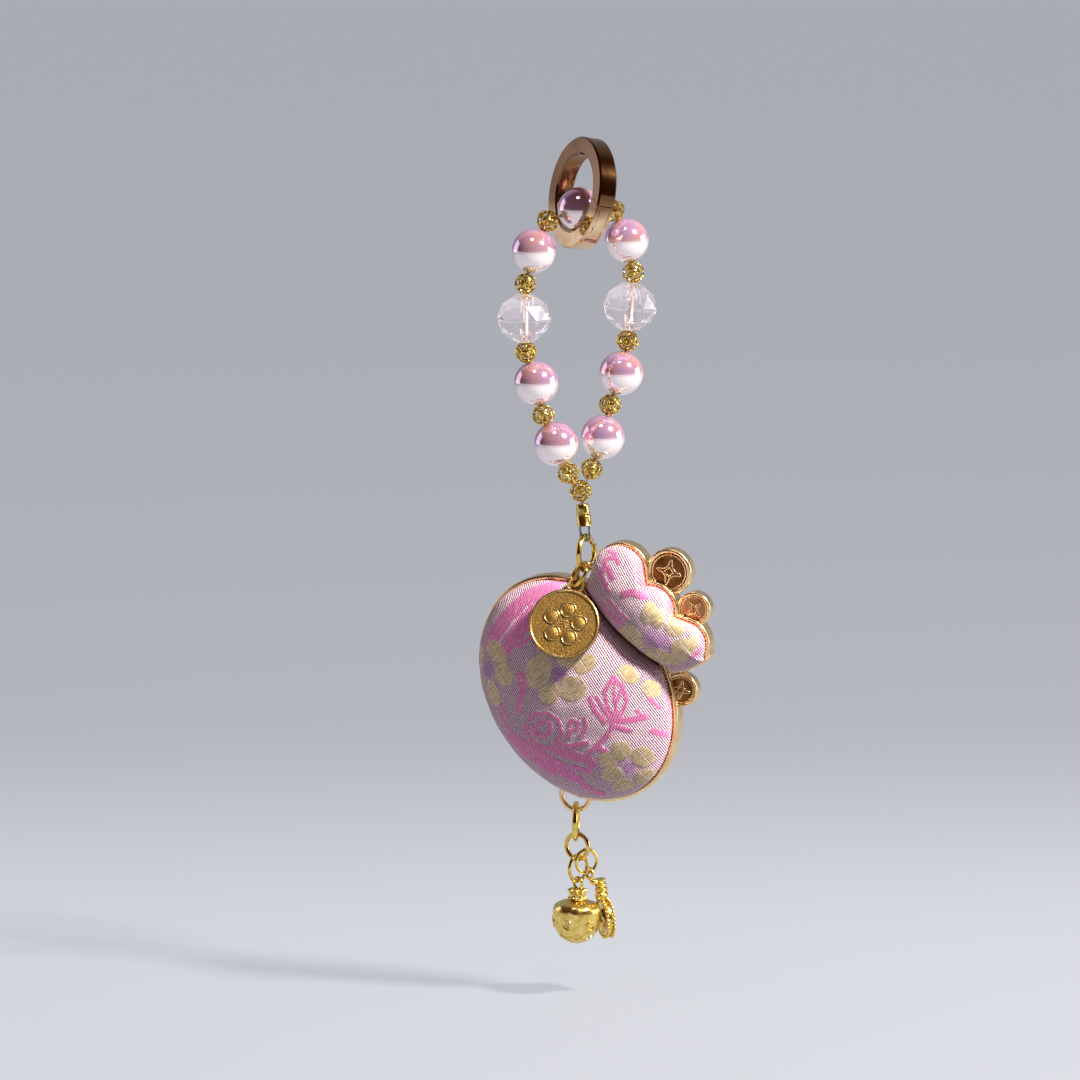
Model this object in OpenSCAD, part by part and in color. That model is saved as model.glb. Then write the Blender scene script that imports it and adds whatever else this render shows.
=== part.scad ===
// Charm strap: a loop of beads hangs from a spring gate ring and carries a padded money bag,
// a tag and two drops. Millimetres, +Z up. The origin is the inner top of the gate ring, where
// the strap hangs. The padded side of the bag faces -Y.

/* [Gate ring] */
// Outside diameter of the gate ring
ring_d = 25.2; // [24:0.2:27]
// Inside diameter of the gate ring
ring_bore = 17.4; // [16.8:0.2:18]
// Width of the gate ring along its axis
ring_w = 4.3; // [4:0.1:5]
// Turn of the ring's axis to the left of the bag's front
ring_turn = 44; // [35:1:55]
// Lean of the ring's top to the back
ring_lean = 10; // [6:0.5:12]
// Angle of the gate's open seam below the horizontal
gate_seam = 4; // [3:1:8]
// Angle of the gate's hinge pin below the horizontal
gate_hinge = 40; // [38:1:44]
// Diameter of the hinge pin
pin_d = 1.0; // [0.8:0.1:1.2]

/* [Beads] */
// Diameter of a pearl
pearl_d = 10; // [9.6:0.1:10.2]
// Diameter of a filigree ball
ball_d = 4.8; // [4.6:0.1:5]
// Diameter of a crystal over the corners of its girdle
crystal_d = 12.9; // [12:0.1:13.4]
// Height of a crystal between its tables
crystal_h = 10.4; // [10:0.1:10.8]
// Diameter of the drilled holes
bead_hole = 1.1; // [1:0.1:1.2]
// Diameter of the thread
thread_d = 0.36; // [0.3:0.02:0.4]

/* [Links] */
// Outside diameter of the jump ring that carries the bag
carrier_d = 9; // [8.8:0.1:9.2]
// Wire of the jump ring that carries the bag
carrier_wire = 1.2; // [1.1:0.05:1.25]
// Lean of the crimps and the wire loop to the right
tail_lean = 6.5; // [5:0.5:8]

/* [Tag] */
// Diameter of the tag
tag_d = 16; // [14:0.5:17]
// Thickness of the tag without its relief
tag_t = 1.0; // [0.9:0.1:1.1]

/* [Bag] */
// Width of the bag's body across its axis
body_w = 55; // [53:0.2:57]
// Height of the bag's body along its axis
body_h = 43.2; // [42:0.2:45]
// Turn of the bag's mouth to the right of upright
bag_turn = 41.6; // [38:0.2:45]
// Further turn of the body's oval
oval_turn = 13.2; // [10:0.2:15]
// Lean of the bag's foot to the back
bag_lean = 2; // [0:0.5:3]
// Depth of the cast frame
frame_depth = 3.4; // [3.2:0.1:4]
// Thickness of the frame's back plate
plate_t = 1.2; // [1:0.1:1.4]
// Width of the rim round the body
rim_w = 1.4; // [1.2:0.1:1.6]
// Width of the rim round the mouth
mouth_rim = 1.1; // [1:0.1:1.4]
// Height of the body's padding above the rim
body_puff = 9; // [7:0.5:10]
// Height of the mouth's padding above the rim
mouth_puff = 7; // [5:0.5:8]

/* [Drops] */
// Width of the bag-shaped drop
drop_w = 11; // [10:0.2:11.2]
// Diameter of the drum-shaped drop
drum_d = 9.4; // [9:0.2:9.8]
// Thickness of the drum-shaped drop
drum_t = 2.3; // [2:0.1:2.5]

/* [Hidden] */
$fn = 96;
CLEAR = 0.05;       // play between a link and what it hangs on
SEAT = 0.12;        // play between pieces that rest on each other
BEAD_GAP = 0.1;     // play between neighbouring beads
IVORY = "#f6e3da";
PINK = "#e7a9c4";
GOLD = "#d9b25a";
ROSE = "#e3bf94";
ANTIQUE = "#b8923f";
CLEAR_PINK = "#eadfe6";

// Strands of the bead loop, from the top pearl down: kind of bead, lean outwards from straight down
// in degrees, bare thread before it in millimetres
LEFT = [
    ["ball", 74.6, 0.8], ["pearl", 27.4, 0], ["ball", 15.9, 0], ["crystal", 2.9, 0], ["ball", -3.6, 0],
    ["pearl", -19.7, 0], ["ball", -13.4, 0], ["pearl", -25.6, 0], ["ball", -24.2, 0]
];
RIGHT = [
    ["ball", 85, 1.0], ["pearl", 25.5, 0], ["ball", 12.9, 0], ["crystal", -6.2, 0], ["ball", -4.4, 0],
    ["pearl", -12, 0], ["ball", -21.9, 0], ["pearl", -14.3, 0], ["ball", -21.5, 0]
];
LOW_DROP = 4.5;     // the lowest ball's centre below the two balls above it

// Node names, bead by bead
function numbered(rows, side, i) = str(
    rows[i][0], side,
    rows[i][0] == "crystal" ? "" : str("_", len([for (j = [0:i]) if (rows[j][0] == rows[i][0]) 1]))
);
LEFT_NAMES = [for (i = [0:len(LEFT) - 1]) numbered(LEFT, "_left", i)];
RIGHT_NAMES = [for (i = [0:len(RIGHT) - 1]) numbered(RIGHT, "_right", i)];

// Vector helpers
function unit(v) = v / norm(v);
function level(a) = [cos(a), sin(a), 0];            // level direction at an angle from +X
function facing(a) = [sin(a), -cos(a), 0];          // level direction at an angle from -Y towards +X
DOWN = [0, 0, -1];
module aim(v) {
    // turns +Z onto v
    rotate([0, acos(v[2] / norm(v)), atan2(v[1], v[0])]) children();
}
module link(at, axis, mid, wire) {
    // jump ring with its centre at a point, by the radius to the middle of its wire
    translate(at) aim(axis) rotate_extrude() translate([mid, 0]) circle(d = wire, $fn = 32);
}
module skin(rings) {
    // closed solid through a stack of rings of points that run anticlockwise seen from above
    m = len(rings[0]);
    top = (len(rings) - 1) * m;
    polyhedron(
        points = [for (ring = rings, p = ring) p],
        faces = concat(
            [[for (i = [0:m - 1]) i], [for (i = [m - 1:-1:0]) top + i]],
            [for (j = [0:len(rings) - 2], i = [0:m - 1]) each [
                [j * m + i, (j + 1) * m + (i + 1) % m, j * m + (i + 1) % m],
                [j * m + i, (j + 1) * m + i, (j + 1) * m + (i + 1) % m]
            ]]
        )
    );
}

// Gate ring, drawn flat with its front face up and its gate on the right
ring_mid = (ring_d + ring_bore) / 4;
ring_thick = (ring_d - ring_bore) / 2;
ring_edge = 0.4;                                    // chamfer of the ring's edges
knuckle_r = ring_thick / 2 - 0.02;                  // round end of the fork about the pin
knuckle_play = 0.12;
tongue_w = 2.4;
tongue_play = 0.1;
tongue_dip = 0.05;
stop_turn = 2 * asin((knuckle_r + knuckle_play) / (2 * ring_mid));
pin_at = ring_mid * [cos(gate_hinge), -sin(gate_hinge)];
// the seam curves about the pin, so that the gate swings in
seam_r = 2 * ring_mid * sin((gate_hinge - gate_seam) / 2);
seam_play = 0.14;
ring_axis = facing(-ring_turn);
groove_w = 0.18;

module at_ring() {
    rotate([90, 0, -ring_turn]) rotate([-ring_lean, 0, 0]) translate([0, -ring_bore / 2, 0]) children();
}
module ring_arc(from, to, inner = ring_bore / 2, outer = ring_d / 2, w = ring_w, edge = ring_edge) {
    // length of the ring between two angles below the horizontal
    rotate([0, 0, -to]) rotate_extrude(angle = to - from) polygon([
        [inner, edge - w / 2], [inner + edge, -w / 2], [outer - edge, -w / 2], [outer, edge - w / 2],
        [outer, w / 2 - edge], [outer - edge, w / 2], [inner + edge, w / 2], [inner, w / 2 - edge]
    ]);
}
module narrow_arc(from, to, inner, outer, w) {
    // the same with square edges
    rotate([0, 0, -to]) rotate_extrude(angle = to - from)
        translate([inner, -w / 2]) square([outer - inner, w]);
}
module at_pin(r, h) {
    translate([pin_at[0], pin_at[1], 0]) cylinder(r = r, h = h, center = true);
}
module ring_body() {
    slot_w = tongue_w + 2 * tongue_play;
    color(ROSE) at_ring() difference() {
        ring_arc(gate_hinge - 14, 360 + gate_seam + 8);
        difference() {
            at_pin(seam_r, ring_w + 1);
            narrow_arc(gate_hinge - 14.5, gate_hinge + 60, ring_bore / 2 - 3, ring_d / 2 + 3, ring_w + 2);
        }
        // the fork's two knuckles take the gate between them
        difference() {
            narrow_arc(gate_hinge - 15, gate_hinge, ring_bore / 2 - 1, ring_d / 2 + 1, ring_w + 1);
            at_pin(knuckle_r, ring_w + 2);
        }
        narrow_arc(gate_hinge - 16, gate_hinge + stop_turn, ring_bore / 2 - 1, ring_d / 2 + 1, slot_w);
        at_pin(pin_d / 2 + 0.015, ring_w + 2);
    }
}
module ring_gate() {
    start = gate_seam - 4;
    color(ROSE) at_ring() difference() {
        union() {
            difference() {
                ring_arc(start, gate_hinge - 7);
                at_pin(knuckle_r + knuckle_play, ring_w + 2);
            }
            // the tongue lies a hair below the gate's faces
            narrow_arc(gate_seam + 8, gate_hinge, ring_bore / 2 + tongue_dip, ring_d / 2 - tongue_dip,
                       tongue_w);
            at_pin(knuckle_r - 0.1, tongue_w);
            narrow_arc(gate_hinge - 2, gate_hinge + stop_turn - 0.8, ring_mid, ring_d / 2 - tongue_dip,
                       tongue_w);
        }
        difference() {
            narrow_arc(start - 2, gate_seam + 12, ring_bore / 2 - 1, ring_d / 2 + 1, ring_w + 1);
            at_pin(seam_r - seam_play, ring_w + 2);
        }
        // long grooves on the gate's outer face
        for (side = [-1, 1]) translate([0, 0, side * tongue_w / 2])
            narrow_arc(gate_seam + 10, gate_hinge - 8, ring_d / 2 - 0.15, ring_d / 2 + 1, groove_w);
        at_pin(pin_d / 2 + 0.05, ring_w + 2);
    }
}
module hinge_pin() {
    color(GOLD) at_ring() translate(concat(pin_at, 0)) cylinder(d = pin_d, h = ring_w - 0.1, center = true);
}

// Beads, placed in the loop's upright plane: distance towards the ring's front, then height
top_bead = (ring_bore - pearl_d / 2 - SEAT) * [sin(ring_lean), -cos(ring_lean)];
function half_of(kind) = kind == "pearl" ? pearl_d / 2 : kind == "ball" ? ball_d / 2 : crystal_h / 2;
function strand(rows, side, from, half, i = 0) =
    i == len(rows) ? [] :
    let (
        own = half_of(rows[i][0]),
        step = half + own + BEAD_GAP + rows[i][2],
        to = from + step * [side * sin(rows[i][1]), -cos(rows[i][1])]
    )
    concat([to], strand(rows, side, to, own, i + 1));
function on_loop(q) = q[0] * ring_axis + [0, 0, q[1]];
left_flat = strand(LEFT, 1, top_bead, pearl_d / 2);
right_flat = strand(RIGHT, -1, top_bead, pearl_d / 2);
last = len(LEFT) - 1;
low_flat = (left_flat[last] + right_flat[last]) / 2 - [0.2, LOW_DROP];
top_at = on_loop(top_bead);
left_at = [for (q = left_flat) on_loop(q)];
right_at = [for (q = right_flat) on_loop(q)];
low_at = on_loop(low_flat);

module drill(at, to, d) {
    // hole from a bead's middle towards its neighbour
    translate(at) aim(to - at) cylinder(d = d, h = crystal_d, $fn = 32);
}
module bore(at, before, after) {
    // the thread's hole, with a round elbow in the middle
    drill(at, before, bead_hole);
    drill(at, after, bead_hole);
    translate(at) aim(before - after) rotate([90, 0, 0]) sphere(d = bead_hole + 0.16, $fn = 32);
}
module pearl(at, before, after) {
    color(IVORY) difference() {
        translate(at) aim(before - after) rotate([90, 0, 0]) sphere(d = pearl_d);
        bore(at, before, after);
    }
}
module crystal(at, before, after) {
    // height and radius of each row of corners as shares of the half height and the girdle's radius
    rows = [[-1, 0.36], [-0.6, 0.78], [0, 1], [0.6, 0.78], [1, 0.36]];
    color(CLEAR_PINK) difference() {
        translate(at) aim(before - after) skin([
            for (j = [0:4]) [
                for (i = [0:7]) let (a = 45 * i - 22.5 * j) [
                    rows[j][1] * crystal_d / 2 * cos(a), rows[j][1] * crystal_d / 2 * sin(a),
                    rows[j][0] * crystal_h / 2
                ]
            ]
        ]);
        bore(at, before, after);
    }
}
module ball(at, axis, threads) {
    // hollow ball with two rows of four piercings, and holes towards the points that its thread runs to
    wall = 0.45;
    pierce_d = 1.2;
    color(GOLD) difference() {
        translate(at) aim(axis) difference() {
            rotate([90, 0, 0]) sphere(d = ball_d);
            rotate([90, 0, 0]) sphere(d = ball_d - 2 * wall);
            for (row = [-1, 1], i = [0:3])
                rotate([0, 90 - row * 27, 90 * i + row * 22.5]) cylinder(d = pierce_d, h = ball_d, $fn = 24);
        }
        for (to = threads) drill(at, to, bead_hole);
    }
}
module bead(rows, places, i) {
    before = i == 0 ? top_at : places[i - 1];
    after = i == last ? low_at : places[i + 1];
    if (rows[i][0] == "pearl") pearl(places[i], before, after);
    if (rows[i][0] == "crystal") crystal(places[i], before, after);
    if (rows[i][0] == "ball")
        ball(places[i], unit(before - places[i]) - unit(after - places[i]), [before, after]);
}

// Crimps and wire loop hang on a line that leans a little to the right
tail_dir = [sin(tail_lean), 0, -cos(tail_lean)];
leg_apart = 0.22;                                   // each thread end's distance from the line
crimp_start = ball_d / 2 + 0.5;
crimp_h = 2.3;
cup_h = 2.6;
cup_start = crimp_start + crimp_h + 0.15;
loop_wire = 0.66;
loop_mid = 1.08;
loop_low = 11.2;                                    // from the lowest ball to the loop's lowest wire
module at_tail(along) {
    translate(low_at + along * tail_dir) rotate([0, -tail_lean, 0]) children();
}
module crimp_upper() {
    color(GOLD) at_tail(crimp_start + crimp_h) rotate_extrude() polygon([
        [0.6, 0], [1.62, 0], [1.62, 0.3], [1.45, 0.42], [1.45, crimp_h - 0.25], [1.25, crimp_h],
        [0.6, crimp_h]
    ]);
}
module crimp_lower() {
    color(GOLD) at_tail(cup_start + cup_h) rotate_extrude() polygon([
        [1.45, 0], [1.72, 0], [1.72, 0.3], [1.62, 0.42], [1.62, cup_h - 0.25], [1.4, cup_h],
        [0.6, cup_h],
        [0.6, cup_h - 0.4], [1.45, cup_h - 0.4]
    ]);
}
module wire_loop() {
    leg = loop_low - loop_mid - cup_start - 0.55;
    color("#8f9096") at_tail(loop_low - loop_mid) {
        rotate([90, 0, 0]) rotate([0, 0, 180]) rotate_extrude(angle = 180)
            translate([loop_mid, 0]) circle(d = loop_wire, $fn = 32);
        for (side = [-1, 1]) translate([side * loop_mid, 0, 0]) cylinder(d = loop_wire, h = leg, $fn = 32);
    }
}
function leg_at(along, side) = low_at + along * tail_dir + side * leg_apart * ring_axis;
thread_route = concat(
    [leg_at(cup_start + 0.9, 1), leg_at(0, 1)], [for (i = [last:-1:0]) left_at[i]], [top_at],
    right_at, [leg_at(0, -1), leg_at(cup_start + 0.9, -1)]
);
module bead_thread() {
    across = level(-ring_turn);                     // square to the loop's plane
    n = len(thread_route);
    color("#f0cdb4") skin([
        for (i = [0:n - 1]) let (
            t = unit(thread_route[min(i + 1, n - 1)] - thread_route[max(i - 1, 0)]),
            s = unit(across - (across * t) * t),
            w = cross(t, s)
        ) [for (k = [0:7]) thread_route[i] + thread_d / 2 * (cos(45 * k) * s + sin(45 * k) * w)]
    ]);
}

// Jump ring that carries the bag, and the bag's place under it
carrier_mid = (carrier_d - carrier_wire) / 2;
loop_at = low_at + loop_low * tail_dir;
carrier_at = loop_at + ((loop_wire + carrier_wire) / 2 + 0.09 - carrier_mid) * [0, 0, 1];
carrier_axis = facing(85);
carrier_near = facing(-5);
carrier_slit = 26;                                  // the open ends lie this far above the level, at the back
module link_upper() {
    color(GOLD) difference() {
        link(carrier_at, carrier_axis, carrier_mid, carrier_wire);
        translate(carrier_at) aim(-cos(carrier_slit) * carrier_near + [0, 0, sin(carrier_slit)])
            rotate([0, 0, 8]) translate([-carrier_wire, -0.12, 0]) cube([2 * carrier_wire, 0.24, carrier_d]);
    }
}

eye_wire = 1.5;
eye_mid = 2.35;
eye_flat = [1.9, 27.75, -0.9];                      // the eye: right, up and forward of the bag's middle
eye_top = carrier_at - (carrier_mid - (carrier_wire + eye_wire) / 2 - CLEAR) * [0, 0, 1];
function turned(q) = [q[0], -sin(bag_lean) * q[1] - cos(bag_lean) * q[2],
                      cos(bag_lean) * q[1] - sin(bag_lean) * q[2]];
bag_at = eye_top - turned(eye_flat + [0, eye_mid, 0]);
function on_bag(q) = bag_at + turned(q);
module at_bag() {
    // right, up and forward of the bag's middle
    translate(bag_at) rotate([90 + bag_lean, 0, 0]) children();
}
module upright() {
    // the bag drawn upright on its own axis
    rotate([0, 0, -bag_turn]) translate([-1.1, 0, 0]) children();
}

// Outlines of the bag as distances from a middle, at an angle, pulled in by an inset
BODY_MID = [-0.05, 1.35];
MOUTH_MID = [0, 27];
NECK_MID = 42.2;                                    // middle of the hollow curve between body and mouth
NECK_R = 30.4;
// Scallops: right and up of the mouth's middle, radius
LOBES = [[-10.3, 1.9, 6.5], [0.5, 0, 6.6], [11.1, -0.2, 6.1]];
// Straight sides: direction that each faces, distance from the middle
SIDES = [[198, 15.4], [-22, 16], [90, 2]];
FOOT_MID = 32.9;                                    // middle of the foot's curve above the mouth's middle
FOOT_R = 41.7;
soft = 0.45;
function soft_min(v) = -soft * ln(sum_exp(v, -1 / soft));
function sum_exp(v, k, i = 0) = i == len(v) ? 0 : exp(k * v[i]) + sum_exp(v, k, i + 1);
function soft_max(v) = soft * ln(sum_exp(v, 1 / soft));
function oval(a, inset) = let (x = body_w / 2 - inset, y = body_h / 2 - inset, b = a + oval_turn)
    x * y / sqrt(pow(y * cos(b), 2) + pow(x * sin(b), 2));
function near_hit(a, at, r) = let (along = at * [cos(a), sin(a)], off = at * at - r * r)
    along * along > off && along > 0 ? along - sqrt(along * along - off) : 1000;
function far_hit(a, at, r) = let (along = at * [cos(a), sin(a)], off = at * at - r * r)
    along * along > off ? along + sqrt(along * along - off) : 0;
function body_edge(a, inset) = soft_min([oval(a, inset), near_hit(a, [0, NECK_MID - BODY_MID[1]], NECK_R)]);
function fan_edge(a, inset) = min([
    far_hit(a, [0, FOOT_MID], FOOT_R - inset),
    for (s = SIDES) cos(a - s[0]) > 0.02 ? (s[1] - inset) / cos(a - s[0]) : 1000
]);
function mouth_edge(a, inset) = soft_max([
    fan_edge(a, inset), for (c = LOBES) far_hit(a, [c[0], c[1]], c[2] - inset)
]);
function around(mid, edges) = let (n = len(edges))
    [for (i = [0:n - 1]) mid + edges[i] * [cos(360 * i / n), sin(360 * i / n)]];
body_steps = 84;
mouth_steps = 108;
function turns(steps) = [for (i = [0:steps - 1]) 360 * i / steps];
function body_line(inset) = around(BODY_MID, [for (a = turns(body_steps)) body_edge(a, inset)]);
function oval_line(inset) = around(BODY_MID, [for (a = turns(body_steps)) oval(a, inset)]);
function mouth_line(inset) = around(MOUTH_MID, [for (a = turns(mouth_steps)) mouth_edge(a, inset)]);

// Cash coins behind the mouth: right and up on the upright bag, diameter
COINS = [[-2.2, 36.25, 10.6], [7.6, 34, 7.8], [17.5, 17.9, 7.9]];
coin_t = 2.4;
coin_rim = 0.1;                                     // share of the diameter
coin_dish = 0.4;
neck_drop = 0.5;
hook_flat = [-1.4, -23.1, -1.5];                   // middle of the loop under the bag
hook_mid = 3.4;
hook_wire = 1.15;
module cash_coin(d) {
    hollow = d * (1 - 2 * coin_rim);
    heart = d * 0.56;                               // corner to corner of the raised four-pointed star
    cylinder(d = d, h = coin_t - coin_dish, $fn = 64);
    difference() {
        cylinder(d = d, h = coin_t, $fn = 64);
        translate([0, 0, coin_t - coin_dish]) cylinder(d = hollow, h = 1, $fn = 64);
    }
    translate([0, 0, coin_t - coin_dish]) linear_extrude(coin_dish) difference() {
        rotate(45) square(heart / sqrt(2), center = true);
        for (a = [45:90:315]) rotate(a) translate([heart * 0.52, 0]) circle(d = heart * 0.62, $fn = 32);
        square(heart * 0.22, center = true);
    }
}
module pouch_frame() {
    top = 3;
    color(GOLD) at_bag() difference() {
        union() {
            upright() {
                translate([0, 0, -frame_depth]) linear_extrude(frame_depth) {
                    polygon(oval_line(0));
                    polygon(mouth_line(0));
                }
                for (c = COINS) translate([c[0], c[1], -frame_depth]) cash_coin(c[2]);
            }
            translate(eye_flat) rotate_extrude() translate([eye_mid, 0]) circle(d = eye_wire, $fn = 32);
            translate(hook_flat) rotate_extrude() translate([hook_mid, 0]) circle(d = hook_wire, $fn = 32);
        }
        upright() {
            translate([0, 0, plate_t - frame_depth]) linear_extrude(frame_depth + top) {
                polygon(body_line(rim_w));
                polygon(mouth_line(mouth_rim));
            }
            // the neck lies a little lower than the rims
            translate([0, 0, -neck_drop]) linear_extrude(top) difference() {
                polygon(oval_line(rim_w));
                polygon(mouth_line(0));
            }
        }
    }
}

// Padded brocade: the sides rise from the plate, bulge over the rim and close in a dome
bulge = 0.4;
bulge_at = 2.2;                                     // height of the widest place above the rim
function puff_rings(mid, line, centre_line, size, puff) = [
    for (step = [[0, -1], [1, -1], for (k = [0:8]) [2, k]]) let (
        fit = SEAT / size,
        turn = step[1] * 10.8,
        s = step[0] < 2 ? 1 - fit : (1 + bulge / size) * pow(cos(turn), 0.85),
        h = step[0] == 0 ? plate_t - frame_depth + SEAT : step[0] == 1 ? 0.1
            : bulge_at + (puff - bulge_at) * sin(turn),
        even = pow(min(1, s / (1 - fit)), 3)
    ) [
        for (i = [0:len(line) - 1])
            concat(mid + s * (even * (line[i] - mid) + (1 - even) * (centre_line[i] - mid)), h)
    ]
];
module body_pad() {
    color(PINK) at_bag() upright()
        skin(puff_rings(BODY_MID, body_line(rim_w), oval_line(rim_w + 1.2), body_h / 2, body_puff));
}
module mouth_pad() {
    line = mouth_line(mouth_rim);
    color(PINK) at_bag() upright() skin(puff_rings(MOUTH_MID, line, line, 9, mouth_puff));
}

// Tag and its ring, in front of the bag
tag_flat = [-0.1, 17.9, 8.35];                      // the tag: right, up and forward of the bag's middle
tag_up = 22;                                        // the tag's face looks up by this much
tag_side = 12;                                      // and to the right
tag_spin = -13.7;
tag_at = on_bag(tag_flat);
ear_far = tag_d / 2 + 1.1;
ear_hole = 2.4;
tag_relief = 0.3;
tag_ring_wire = 0.85;
tag_ring_mid = 2.9;
tag_ring_at = carrier_at + [-0.416, -3.564, -4.366];
tag_ring_axis = [0.65, 0.589, -0.48];
module at_tag() {
    translate(tag_at) rotate([90 - tag_up, 0, tag_side]) rotate([0, 0, tag_spin]) children();
}
module blossom(r) {
    // five round petals about a small heart
    for (a = [90:72:378]) translate(r * 0.62 * [cos(a), sin(a)]) circle(r * 0.36, $fn = 32);
}
module tag() {
    color(ANTIQUE) at_tag() {
        translate([0, 0, -tag_t / 2]) difference() {
            union() {
                cylinder(d = tag_d, h = tag_t + tag_relief);
                translate([0, ear_far, 0]) cylinder(d = 4, h = tag_t, $fn = 48);
            }
            translate([0, 0, tag_t]) cylinder(d = tag_d - 1.3, h = 1);
            translate([0, ear_far, -1]) cylinder(d = ear_hole, h = 4, $fn = 48);
        }
        translate([0, 0, tag_t / 2 - 0.05]) linear_extrude(tag_relief + 0.05) difference() {
            blossom(5.4);
            circle(0.9, $fn = 32);
        }
    }
}
module tag_ring() {
    color(GOLD) link(tag_ring_at, tag_ring_axis, tag_ring_mid, tag_ring_wire);
}

// Lower chain: outside radius to the middle of the wire, wire, direction that the link's axis faces
CHAIN = [[3.98, 1.25, 106], [2.9, 1.0, -13], [3.0, 0.8, 69], [2.7, 0.75, 50]];
hook_low = on_bag(hook_flat + [0, -hook_mid, 0]);
function under(low, wire, i) = low + ((wire + CHAIN[i][1]) / 2 + CLEAR - CHAIN[i][0]) * [0, 0, 1];
chain_1 = under(hook_low, hook_wire, 0);
SHIFT_2 = [0.3, 0, 0.04];                           // how far each link has slid sideways in the one above
SHIFT_3 = [0.2, 0, 0];
chain_2 = under(chain_1 + CHAIN[0][0] * DOWN, CHAIN[0][1], 1) + SHIFT_2;
chain_3 = under(chain_2 + CHAIN[1][0] * DOWN, CHAIN[1][1], 2) + SHIFT_3;
side_angle = 44;                                    // the fourth link sits beside the third, round the second
side_at = chain_2 + CHAIN[1][0] * (sin(side_angle) * level(CHAIN[1][2]) + cos(side_angle) * DOWN);
side_lean = 19;
side_dir = unit(sin(side_lean) * level(CHAIN[3][2]) + cos(side_lean) * DOWN);
SHIFT_4 = [-0.1, 0.3, 0];
chain_4 = side_at + (CHAIN[3][0] - (CHAIN[1][1] + CHAIN[3][1]) / 2 - 0.5) * side_dir + SHIFT_4;
module lower_link(at, i) {
    color(GOLD) link(at, facing(CHAIN[i][2]), CHAIN[i][0], CHAIN[i][1]);
}

// Drops: each hangs from an eye that the link above passes through
eye_in = 0.9;                                       // inside radius of a drop's eye
eye_t = 0.7;
module drop_eye(facing_angle) {
    rotate([90, 0, facing_angle])
        rotate_extrude() translate([eye_in + eye_t / 2, 0]) circle(d = eye_t, $fn = 32);
}
function eye_under(low, i) = low + (CHAIN[i][1] / 2 + CLEAR - eye_in) * [0, 0, 1];

// Bag-shaped drop: round body, narrow neck and a ruffle below the eye
drop_h = 10.1;
drop_top = -3.75;                                   // top of the round body below the eye's middle
drop_wide = 3.8;                                    // the widest place below the body's top
drop_lean = 2;
function drop_r(z) = let (
    share = z < drop_wide ? 1 - z / drop_wide : (z - drop_wide) / (drop_h - drop_wide)
) drop_w / 2 * sqrt(max(0, 1 - pow(share, z < drop_wide ? 4.2 : 2)));
drop_eye_at = eye_under(chain_3 + CHAIN[2][0] * DOWN, 2);
module bag_drop() {
    neck_r = 1.35;
    color(GOLD) translate(drop_eye_at) {
        drop_eye(CHAIN[2][2] - 90);
        rotate([0, drop_lean, 0]) {
            translate([0, 0, drop_top]) rotate_extrude() polygon(concat(
                [[0, -drop_h], for (z = [drop_h - 0.25:-0.7:0.2]) [drop_r(z), -z], [drop_r(0.12), -0.12]],
                [[neck_r + 0.2, 0.05], [neck_r, 0.5], [neck_r, 1.1], [2, 2], [1.7, 2.35], [0, 2.6]]
            ));
            // six raised rings
            for (a = [25:60:325]) rotate(a) translate([drop_r(5.2) - 0.1, 0, drop_top - 5.2])
                rotate([0, 98, 0]) rotate_extrude() translate([1.05, 0]) circle(0.24, $fn = 16);
        }
    }
}

// Drum-shaped drop: a short drum on its side with beaded rims, a bail block and the eye
drum_lean = 6;
drum_far = [1.3, 3.8, -10.9];                        // right of, behind and below the eye's middle
bail_at = [1.45, 2.4, -4];
bail_arm_at = [0.55, 0.85, -2];                      // between the eye and the bail
drum_face = 38;
drum_eye_at = eye_under(chain_4 + CHAIN[3][0] * side_dir, 3) + [0, 0, 0.12];
module drum_drop() {
    bead_r = 0.36;
    color(GOLD) translate(drum_eye_at) {
        drop_eye(CHAIN[3][2] - 90);
        rotate([0, -drum_lean, 0]) {
            translate(drum_far) rotate([0, 90, drum_face]) {
                cylinder(d = drum_d - 2 * bead_r, h = drum_t - 0.3, center = true);
                for (side = [-1, 1]) translate([0, 0, side * (drum_t / 2 - bead_r)])
                    rotate_extrude() translate([drum_d / 2 - bead_r, 0]) circle(bead_r, $fn = 24);
            }
            translate(bail_at) cube([2.4, 4, 5.2], center = true);
            translate(bail_arm_at) cube([1.9, 2.5, 1.3], center = true);
        }
    }
}

ring_body();
ring_gate();
hinge_pin();
bead_thread();
pearl(top_at, left_at[0], right_at[0]);  // pearl_top
for (i = [0:last]) bead(LEFT, left_at, i);
for (i = [0:last]) bead(RIGHT, right_at, i);
ball(low_at, -tail_dir, [left_at[last], right_at[last], low_at + tail_dir]);  // ball_low
crimp_upper();
crimp_lower();
wire_loop();
link_upper();
tag_ring();
tag();
pouch_frame();
body_pad();
mouth_pad();
lower_link(chain_1, 0);  // link_lower_1
lower_link(chain_2, 1);  // link_lower_2
lower_link(chain_3, 2);  // link_lower_3
lower_link(chain_4, 3);  // link_lower_4
bag_drop();
drum_drop();
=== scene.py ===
# %% [markdown]
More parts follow.
